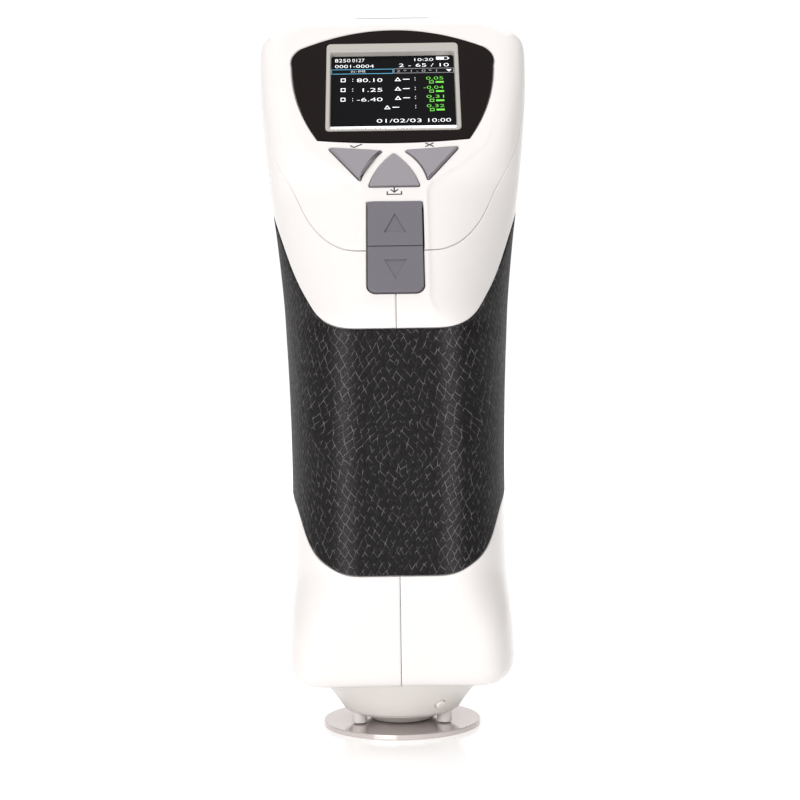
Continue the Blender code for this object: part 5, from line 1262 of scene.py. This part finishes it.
def make_screen_marks():
    """Generic figures, tabs and bars where the screen shows its readings."""
    mm = MM
    white = [figures("8250", -17.2 * mm, -12.6 * mm, 90.4 * mm, 91.7 * mm),
             figures("0127", -12.0 * mm, -8.4 * mm, 90.4 * mm, 91.7 * mm),
             figures("0001-0004", -17.2 * mm, -5.6 * mm, 88.1 * mm, 89.3 * mm),
             figures("10:20", 6.6 * mm, 12.2 * mm, 90.5 * mm, 91.6 * mm),
             figures("2 - 65 / 10", 1.9 * mm, 16.8 * mm, 88.2 * mm, 89.5 * mm),
             flat_mark([(13.3 * mm, 91.1 * mm), (15.4 * mm, 91.1 * mm), (15.4 * mm, 91.9 * mm),
                        (13.3 * mm, 91.9 * mm)]),
             frame_mark(13.1 * mm, 16.6 * mm, 90.9 * mm, 92.1 * mm, 0.12 * mm),
             bar(16.65 * mm, 17.0 * mm, 91.25 * mm, 91.75 * mm),
             figures("80.10", -10.6 * mm, -3.1 * mm, 82.4 * mm, 83.8 * mm),
             figures("1.25", -8.9 * mm, -3.1 * mm, 78.55 * mm, 79.95 * mm),
             figures("-6.40", -10.6 * mm, -3.1 * mm, 74.8 * mm, 76.2 * mm),
             figures("(1) - 0102", -12.4 * mm, -8.2 * mm, 86.05 * mm, 87.05 * mm),
             flat_mark([(16.0 * mm, 87.0 * mm), (17.6 * mm, 87.0 * mm), (16.8 * mm, 86.1 * mm)][::-1])]
    for up in (82.5, 78.65, 74.9):
        white.append(figures(":", -12.0 * mm, -11.75 * mm, (up + 0.1) * mm, (up + 1.2) * mm))
        white.append(frame_mark(-15.4 * mm, -14.0 * mm, up * mm, (up + 1.4) * mm, 0.22 * mm))
    for up in (82.6, 78.9, 75.3, 71.7):
        start_x = 0.6 if up > 72 else -2.6
        white.append(triangle_mark((start_x + 0.9) * mm, up * mm, 0.95 * mm, 1.5 * mm))
        white.append(bar((start_x + 2.4) * mm, (start_x + 4.4) * mm, (up + 0.55) * mm, (up + 0.8) * mm))
        white.append(figures(":", 6.5 * mm, 6.75 * mm, (up + 0.2) * mm, (up + 1.3) * mm))
    white.append(figures("01/02/03", -4.8 * mm, 8.2 * mm, 66.55 * mm, 67.9 * mm))
    white.append(figures("10:00", 10.2 * mm, 16.8 * mm, 66.55 * mm, 67.9 * mm))
    white.append(bar(-18.3 * mm, 18.3 * mm, 63.0 * mm, 65.2 * mm))
    dress(joined("screen_white_marks", white), LIT_WHITE)
    green = []
    for text, up in (("0.05", 83.0), ("-0.04", 79.4), ("0.31", 75.8), ("0.32", 72.2)):
        green.append(figures(text, (9.1 if text[0] == "-" else 9.9) * mm, 15.0 * mm, up * mm,
                             (up + 1.15) * mm))
        green.append(frame_mark(10.8 * mm, 12.1 * mm, (up - 1.5) * mm, (up - 0.4) * mm, 0.2 * mm))
        green.append(bar(12.7 * mm, 15.1 * mm, (up - 1.3) * mm, (up - 0.65) * mm))
    dress(joined("screen_green_values", green), LIT_GREEN)
    dress(joined("screen_blue_tab", [frame_mark(-18.3 * mm, 0.2 * mm, 85.6 * mm, 87.5 * mm, 0.2 * mm)]),
          LIT_BLUE)
    dress(joined("screen_grey_tab", [frame_mark(0.4 * mm, 18.2 * mm, 85.7 * mm, 87.6 * mm, 0.12 * mm),
                                     figures("2 * 1 - 0 * 1", 1.2 * mm, 13.2 * mm, 86.1 * mm,
                                             87.1 * mm)]), LIT_GREY)
    dark = []
    for x0, x1 in ((-17.6, -8.0), (-5.4, 5.3)):
        dark.append(figures("(1) - 001", x0 * mm, x1 * mm, 63.65 * mm, 64.7 * mm,
                            SCREEN_PLANE @ Matrix.Translation((0, 0, 0.03 * mm))))
    dress(joined("screen_prompt_marks", dark), LABEL_INK)


# ---------------------------------------------------------------- keys and their labels

def soft_key(name, outline, low, top, place, edge=0.3 * MM):
    """A key with straight sides and a rounded edge."""
    loops = [at(outline, low)]
    for turn in (0, 22, 45, 67, 90):
        angle = math.radians(turn)
        loops.append(at(grown(outline, -edge * (1 - math.cos(angle))), top - edge * (1 - math.sin(angle))))
    return extruded_loops(name, loops, place)


def make_face_keys():
    """Three shaped keys and the two arrow keys with their sunk arrows."""
    for name, outline, node in (("enter_key_cap", side_key_outline(-1), "enter_key"),
                                ("cancel_key_cap", side_key_outline(1), "cancel_key"),
                                ("save_key_cap", save_key_outline(), "save_key")):
        key = soft_key(name, outline, -4.6 * MM, KEY_PROUD, FACE)
        dress(soften(key, 40), KEY_GREY, node, node)
    up_outline = rounded(rectangle(ARROW_KEY_HALF, ARROW_KEY_MIDDLE_UP + HALF_GAP,
                                   ARROW_KEY_HIGH_UP - GAP), 0.35 * MM, 4)
    down_outline = tongue(ARROW_KEY_HALF, ARROW_KEY_LOW_UP + GAP, ARROW_KEY_MIDDLE_UP - HALF_GAP,
                          ARROW_KEY_CORNER)
    for name, outline, node, middle, upward in (("up_key_cap", up_outline, "up_key", 28.45 * MM, 1),
                                                ("down_key_cap", down_outline, "down_key", 12.85 * MM, -1)):
        key = soft_key(name, outline, -4.6 * MM, KEY_PROUD, FACE, 0.26 * MM)
        height = upward * 3.2 * MM
        arrow = [(-3.0 * MM, middle - height), (3.0 * MM, middle - height), (0, middle + height)]
        if upward < 0:
            arrow.reverse()
        cutter = extruded_loops("arrow", [at(grown(arrow, -0.06 * MM), KEY_PROUD - 0.42 * MM),
                                          at(arrow, KEY_PROUD - 0.1 * MM),
                                          at(grown(arrow, 0.12 * MM), KEY_PROUD),
                                          at(grown(arrow, 0.12 * MM), KEY_PROUD + 1 * MM)],
                                FACE)
        cut(key, cutter)
        dress(soften(key, 40), ARROW_GREY, node, node)


def stroke(points, half, place=None):
    """A printed stroke along a line of points, drawn as short bars."""
    marks = []
    for first, last in zip(points, points[1:]):
        first, last = Vector(first), Vector(last)
        lean = (last - first).normalized()
        side = Vector((-lean.y, lean.x)) * half
        ahead = lean * half * 0.9
        corners = [first - ahead - side, last + ahead - side, last + ahead + side, first - ahead + side]
        marks.append(flat_mark([tuple(corner) for corner in corners], place or FACE, 0.035 * MM, 0.03 * MM))
    return marks


def make_key_labels():
    """Printed signs by the three keys: a tick, a cross and a tray with an arrow."""
    mm = MM
    marks = stroke([(-12.3 * mm, 56.6 * mm), (-11.4 * mm, 56.0 * mm), (-9.2 * mm, 57.1 * mm)], 0.2 * mm)
    dress(joined("enter_sign", marks), LABEL_INK)
    marks = stroke([(9.2 * mm, 56.0 * mm), (11.3 * mm, 57.2 * mm)], 0.2 * mm)
    marks += stroke([(9.2 * mm, 57.2 * mm), (11.3 * mm, 56.0 * mm)], 0.2 * mm)
    dress(joined("cancel_sign", marks), LABEL_INK)
    marks = stroke([(-2.0 * mm, 39.7 * mm), (-2.0 * mm, 38.8 * mm), (2.0 * mm, 38.8 * mm),
                    (2.0 * mm, 39.7 * mm)], 0.2 * mm)
    marks += stroke([(0, 41.0 * mm), (0, 39.7 * mm)], 0.2 * mm)
    marks += stroke([(-0.9 * mm, 40.4 * mm), (0, 39.6 * mm), (0.9 * mm, 40.4 * mm)], 0.2 * mm)
    dress(joined("save_sign", marks), LABEL_INK)


# ---------------------------------------------------------------- nose, plate and posts

def lathe(name, profile, closed=True, count=96):
    """A closed profile of radii and heights turned about the upright axis."""
    loops = [at(circle(radius, count), height) for radius, height in profile]
    return extruded_loops(name, loops, UPRIGHT, closed=closed)


def soft_profile(points, radius, steps=5):
    """A closed profile with its corners rounded by a radius where its sides are long enough."""
    result = []
    count = len(points)
    for i in range(count):
        here, back, ahead = (Vector(points[k]) for k in (i, i - 1, (i + 1) % count))
        toward_back, toward_ahead = back - here, ahead - here
        reach = min(radius, toward_back.length * 0.4, toward_ahead.length * 0.4)
        first = here + toward_back.normalized() * reach
        last = here + toward_ahead.normalized() * reach
        if toward_back.angle(toward_ahead) > math.radians(165):
            result.append(tuple(here))
            continue
        for step in range(steps + 1):
            t = step / steps
            result.append(tuple(first * (1 - t) ** 2 + here * 2 * t * (1 - t) + last * t * t))
    return result


def make_nose():
    """The bowl with its post holes, the plate, its posts, the port tube and the raised dot."""
    mm = MM
    plate_top = 1.5 * mm
    foot = plate_top + GAP
    edge = plate_top + 3.4 * mm
    bowl_top = BODY_BOTTOM - GAP
    profile = [(NECK_RADIUS, BODY_BOTTOM + 10.4 * mm), (NECK_RADIUS, bowl_top)]
    outer = [(24.6 * mm, bowl_top), (24.58 * mm, bowl_top - 0.35 * mm)]
    outer += bowed((24.4 * mm, bowl_top - 0.7 * mm), (16.8 * mm, edge + 0.5 * mm), 0.25 * mm, 10)
    outer += bowed((16.8 * mm, edge + 0.5 * mm), (15.6 * mm, edge - 0.3 * mm), 0.1 * mm, 5)
    outer += bowed((15.6 * mm, edge - 0.3 * mm), (9.0 * mm, foot + 0.1 * mm), 0.3 * mm, 8)
    profile += outer
    profile += [(9.0 * mm, foot + 0.1 * mm), (8.5 * mm, foot), (6.2 * mm, foot),
                (6.2 * mm, foot + 2.7 * mm),
                (16.2 * mm, foot + 7.1 * mm), (16.2 * mm, BODY_BOTTOM + 10.4 * mm)]
    bowl = lathe("nose_bowl_skin", profile)
    places = []
    for post in range(3):
        turn = math.tau * post / 3 + math.pi / 2
        places.append((14.0 * mm * math.cos(turn), 14.0 * mm * math.sin(turn)))
    for centre in places:
        hole = circle(2.4 * mm, 32, centre)
        cut(bowl, extruded_loops("post_hole", [at(hole, 0), at(hole, foot + 4.7 * mm)]))
    dot_height = plate_top + 7.0 * mm
    share = (dot_height - edge) / (bowl_top - edge)
    dot_radius = 16.3 * mm + 8.3 * mm * share
    lean = math.atan2(8.3 * mm, bowl_top - edge)
    dot_frame = (Matrix.Rotation(math.radians(34), 4,
                                 "Z") @ Matrix.Translation((0, -dot_radius, dot_height))
                 @ Matrix.Rotation(math.pi / 2 + lean, 4, "X"))
    pocket = circle(1.6 * mm, 32)
    cut(bowl, extruded_loops("dot_pocket", [at(pocket, -0.7 * mm), at(pocket, 4 * mm)], dot_frame))
    dress(soften(bowl, 35), NOSE_BEIGE_PAINTED_SHADE, "nose", "nose_bowl")
    dot_loops = [at(circle(1.4 * mm, 32), -0.4 * mm)]
    for turn in (0, 20, 40, 60, 80):
        angle = math.radians(turn)
        dot_loops.append(at(circle(1.4 * mm - 0.7 * mm * (1 - math.cos(angle)), 32),
                            0.8 * mm - 0.7 * mm * (1 - math.sin(angle))))
    dress(soften(extruded_loops("alignment_dot_head", dot_loops, dot_frame), 50), NOSE_BEIGE_PAINTED_SHADE, "nose",
          "alignment_dot")
    for number, centre in enumerate(places):
        loops = [at(circle(2.1 * mm - 0.15 * mm, 40, centre), foot),
                 at(circle(2.1 * mm, 40, centre), foot + 0.15 * mm),
                 at(circle(2.1 * mm, 40, centre), foot + 4.25 * mm),
                 at(circle(1.95 * mm, 40, centre), foot + 4.4 * mm)]
        post = extruded_loops("plate_post_%d_pin" % (number + 1), loops)
        dress(soften(post, 50), NOSE_BEIGE_PAINTED_SHADE, "nose", "plate_post_%d" % (number + 1))
    radius, hole = 22.75 * mm, 5.0 * mm
    profile = soft_profile([(radius, plate_top), (radius, 0), (hole, 0), (hole, plate_top)], 0.28 * mm)
    dress(soften(lathe("locating_plate_disc", profile, count=160), 40), PLATE_METAL, "nose",
          "locating_plate")
    tube_top = 42.0 * mm - math.sqrt((20.5 * mm) ** 2 - (5.9 * mm) ** 2) - GAP
    profile = soft_profile([(5.9 * mm, tube_top), (5.9 * mm, foot), (4.8 * mm, foot),
                            (4.8 * mm, tube_top)], 0.2 * mm)
    dress(soften(lathe("port_tube_wall", profile, count=64), 40), PANEL_BLACK, "nose", "port_tube")


# ---------------------------------------------------------------- back of the head

def make_back_parts():
    """Test button with a finger dish, ridged slider and port cover with a pull lip."""
    mm = MM
    outline = test_outline(0)
    top = 1.4 * mm
    loops = [at(outline, -WALL - 1 * mm)]
    for turn in (0, 22, 45, 67, 90):
        angle = math.radians(turn)
        loops.append(at(grown(outline, -0.7 * mm * (1 - math.cos(angle))),
                        top - 0.7 * mm * (1 - math.sin(angle))))
    for inward, sink in ((1.5, 0.02), (2.6, 0.12), (4.0, 0.26), (5.4, 0.34), (6.6, 0.37)):
        loops.append(at(grown(outline, -inward * mm), top - sink * mm))
    button = extruded_loops("test_button_cap", loops, moved_up(BACK_VIEW, BACK_DEPTH))
    dress(soften(button, 50), KEY_GREY, "test_button", "test_button")
    skin = skin_depth(COVER_PLACE[0], COVER_PLACE[1])
    flap_outline = cover_outline(0)
    flap_loops = [at(flap_outline, -1.0 * mm), at(flap_outline, -0.3 * mm),
                  at(grown(flap_outline, -0.1 * mm), -0.08 * mm),
                  at(grown(flap_outline, -0.3 * mm), 0), at(grown(flap_outline, -0.9 * mm), 0),
                  at(grown(flap_outline, -1.1 * mm), -0.15 * mm),
                  at(grown(flap_outline, -1.4 * mm), -0.15 * mm)]
    flap = extruded_loops("port_cover_flap", flap_loops, moved_up(BACK_VIEW, skin))
    plug = rectangle(2.7 * mm, COVER_PLACE[1] - 1.4 * mm, COVER_PLACE[1] + 1.4 * mm, -COVER_PLACE[0])
    plug_piece = slab("plug", rounded(plug, 0.7 * mm), skin - 2.2 * mm, skin - 0.5 * mm, BACK_VIEW)
    boolean(flap, plug_piece, "UNION")
    dress(soften(flap, 40), RUBBER, "port_cover", "port_cover")
    skin = skin_depth(SLIDER_PLACE[0], SLIDER_PLACE[1])
    middle = -SLIDER_PLACE[0] + 1.5 * mm
    knob = box("power_slider_knob", (middle - 2.0 * mm, SLIDER_PLACE[1] - 1.2 * mm, -WALL - 0.6 * mm),
               (middle + 2.0 * mm, SLIDER_PLACE[1] + 1.2 * mm, 1.0 * mm), moved_up(BACK_VIEW, skin),
               0.2 * mm)
    foot = box("foot", (middle - 3.1 * mm, SLIDER_PLACE[1] - 2.3 * mm, -WALL - 1.4 * mm),
               (middle + 3.1 * mm, SLIDER_PLACE[1] + 2.3 * mm, -WALL - 0.6 * mm),
               moved_up(BACK_VIEW, skin), 0.1 * mm)
    boolean(knob, foot, "UNION")
    for step in range(-2, 3):
        x = middle + step * 0.7 * mm
        cut(knob, box("rib", (x - 0.14 * mm, SLIDER_PLACE[1] - 2 * mm, 0.72 * mm),
                      (x + 0.14 * mm, SLIDER_PLACE[1] + 2 * mm, 2 * mm), moved_up(BACK_VIEW, skin)))
    dress(soften(knob, 40), PANEL_BLACK, "power_switch", "power_switch")


# ---------------------------------------------------------------- finishes of the solids that stay

def dress_solids():
    """Give every solid that stays the detailed finish of its own name."""
    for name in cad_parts:
        solid = bpy.data.objects.get(name)
        if not solid or solid.type != "MESH":
            continue
        for slot in solid.material_slots:
            base = slot.material.name.split(".")[0] if slot.material else ""
            if base in FINISHES:
                slot.material = FINISHES[base]


# ---------------------------------------------------------------- floor, light and camera

def make_floor():
    """A wide pale floor with a faint gloss."""
    deselect_all()
    bpy.ops.mesh.primitive_circle_add(vertices=96, radius=20.0, fill_type="NGON")
    floor = start("floor")
    made = plastic("floor_white", (0.8, 0.795, 0.795), (0.78, 0.775, 0.775), 0.14, 0.02, 0.3, 900.0, 0.2,
                   0.0,
                   Emission_Color=(1, 1, 1, 1), Emission_Strength=0.36)
    floor.data.materials.append(made)


def softbox(name, place, target, width, height, watts, colour=(1, 1, 1)):
    """A large soft lamp that points at a place."""
    data = bpy.data.lights.new(name, "AREA")
    data.shape = "RECTANGLE"
    data.size = width
    data.size_y = height
    data.energy = watts
    data.color = colour
    lamp = bpy.data.objects.new(name, data)
    bpy.context.scene.collection.objects.link(lamp)
    lamp.location = place
    lamp.rotation_euler = (Vector(target) - Vector(place)).to_track_quat("-Z", "Y").to_euler()


def make_light():
    """A bright room with a large lamp over and before the instrument."""
    world = bpy.data.worlds.new("studio")
    bpy.context.scene.world = world
    world.use_nodes = True
    tree = world.node_tree
    tree.nodes.clear()
    result = add_node(tree, "ShaderNodeOutputWorld", (400, 0))
    place = add_node(tree, "ShaderNodeTexCoord", (-1100, 200))
    parts = add_node(tree, "ShaderNodeSeparateXYZ", (-900, 200))
    tree.links.new(place.outputs["Generated"], parts.inputs["Vector"])
    low = add_node(tree, "ShaderNodeMapRange", (-650, 300),
                   {"From Min": 0.1, "From Max": 0.75, "To Min": 1.0, "To Max": 0.0})
    tree.links.new(parts.outputs["Z"], low.inputs["Value"])
    depth = add_node(tree, "ShaderNodeMath", (-650, 50), operation="ABSOLUTE")
    tree.links.new(parts.outputs["Y"], depth.inputs[0])
    ends = add_node(tree, "ShaderNodeMapRange", (-450, 50), {"From Min": 0.25, "From Max": 0.9})
    tree.links.new(depth.outputs[0], ends.inputs["Value"])
    bright = add_node(tree, "ShaderNodeMath", (-250, 200), operation="MULTIPLY")
    tree.links.new(low.outputs["Result"], bright.inputs[0])
    tree.links.new(ends.outputs["Result"], bright.inputs[1])
    strength = add_node(tree, "ShaderNodeMath", (-100, 200), operation="MULTIPLY_ADD")
    strength.inputs[1].default_value = 0.62
    strength.inputs[2].default_value = 0.6
    tree.links.new(bright.outputs[0], strength.inputs[0])
    left = add_node(tree, "ShaderNodeMapRange", (-450, -200),
                    {"From Min": -0.97, "From Max": -0.3, "To Min": 0.55, "To Max": 1.0})
    right = add_node(tree, "ShaderNodeMapRange", (-450, -450),
                     {"From Min": 0.3, "From Max": 0.97, "To Min": 1.0, "To Max": 0.38})
    sides = add_node(tree, "ShaderNodeMath", (-250, -300), operation="MULTIPLY")
    shaded = add_node(tree, "ShaderNodeMath", (-50, 0), operation="MULTIPLY")
    for side in (left, right):
        tree.links.new(parts.outputs["X"], side.inputs["Value"])
    tree.links.new(left.outputs["Result"], sides.inputs[0])
    tree.links.new(right.outputs["Result"], sides.inputs[1])
    tree.links.new(sides.outputs[0], shaded.inputs[0])
    tree.links.new(strength.outputs[0], shaded.inputs[1])
    room = add_node(tree, "ShaderNodeBackground", (0, 100), {"Color": (1.0, 0.985, 0.975, 1)})
    tree.links.new(shaded.outputs[0], room.inputs["Strength"])
    seen = add_node(tree, "ShaderNodeBackground", (0, -100), {"Color": (1, 1, 1, 1), "Strength": 1.05})
    path = add_node(tree, "ShaderNodeLightPath", (-300, 400))
    choice = add_node(tree, "ShaderNodeMixShader", (200, 0))
    tree.links.new(path.outputs["Is Camera Ray"], choice.inputs["Fac"])
    tree.links.new(room.outputs["Background"], choice.inputs[1])
    tree.links.new(seen.outputs["Background"], choice.inputs[2])
    tree.links.new(choice.outputs["Shader"], result.inputs["Surface"])
    softbox("front_softbox", (-0.55, -1.2, 0.55), (0, 0, 0.12), 0.8, 0.8, 8.5)
    softbox("top_softbox", (0, 0.45, 1.3), (0, 0, 0.1), 1.2, 1.0, 7.0)


def make_camera():
    """The camera at the photograph's viewing angle."""
    data = bpy.data.cameras.new("photo_camera")
    data.lens = 63
    data.sensor_width = 36
    data.shift_x = 0.003
    data.shift_y = 0.01125
    data.clip_start = 0.01
    camera = bpy.data.objects.new("photo_camera", data)
    bpy.context.scene.collection.objects.link(camera)
    camera.matrix_world = (Matrix.Translation((0, -0.409, 0.0915)) @ Matrix.Rotation(math.radians(90), 4,
                                                                                     "X")
                           @ Matrix.Rotation(math.radians(-0.85), 4, "Z"))
    bpy.context.scene.camera = camera


make_front_cover()
make_shells()
make_leather()
make_display()
make_face_keys()
make_key_labels()
make_nose()
make_back_parts()
dress_solids()
make_floor()
make_light()
make_camera()
bpy.context.scene.view_settings.view_transform = "Standard"
deselect_all()
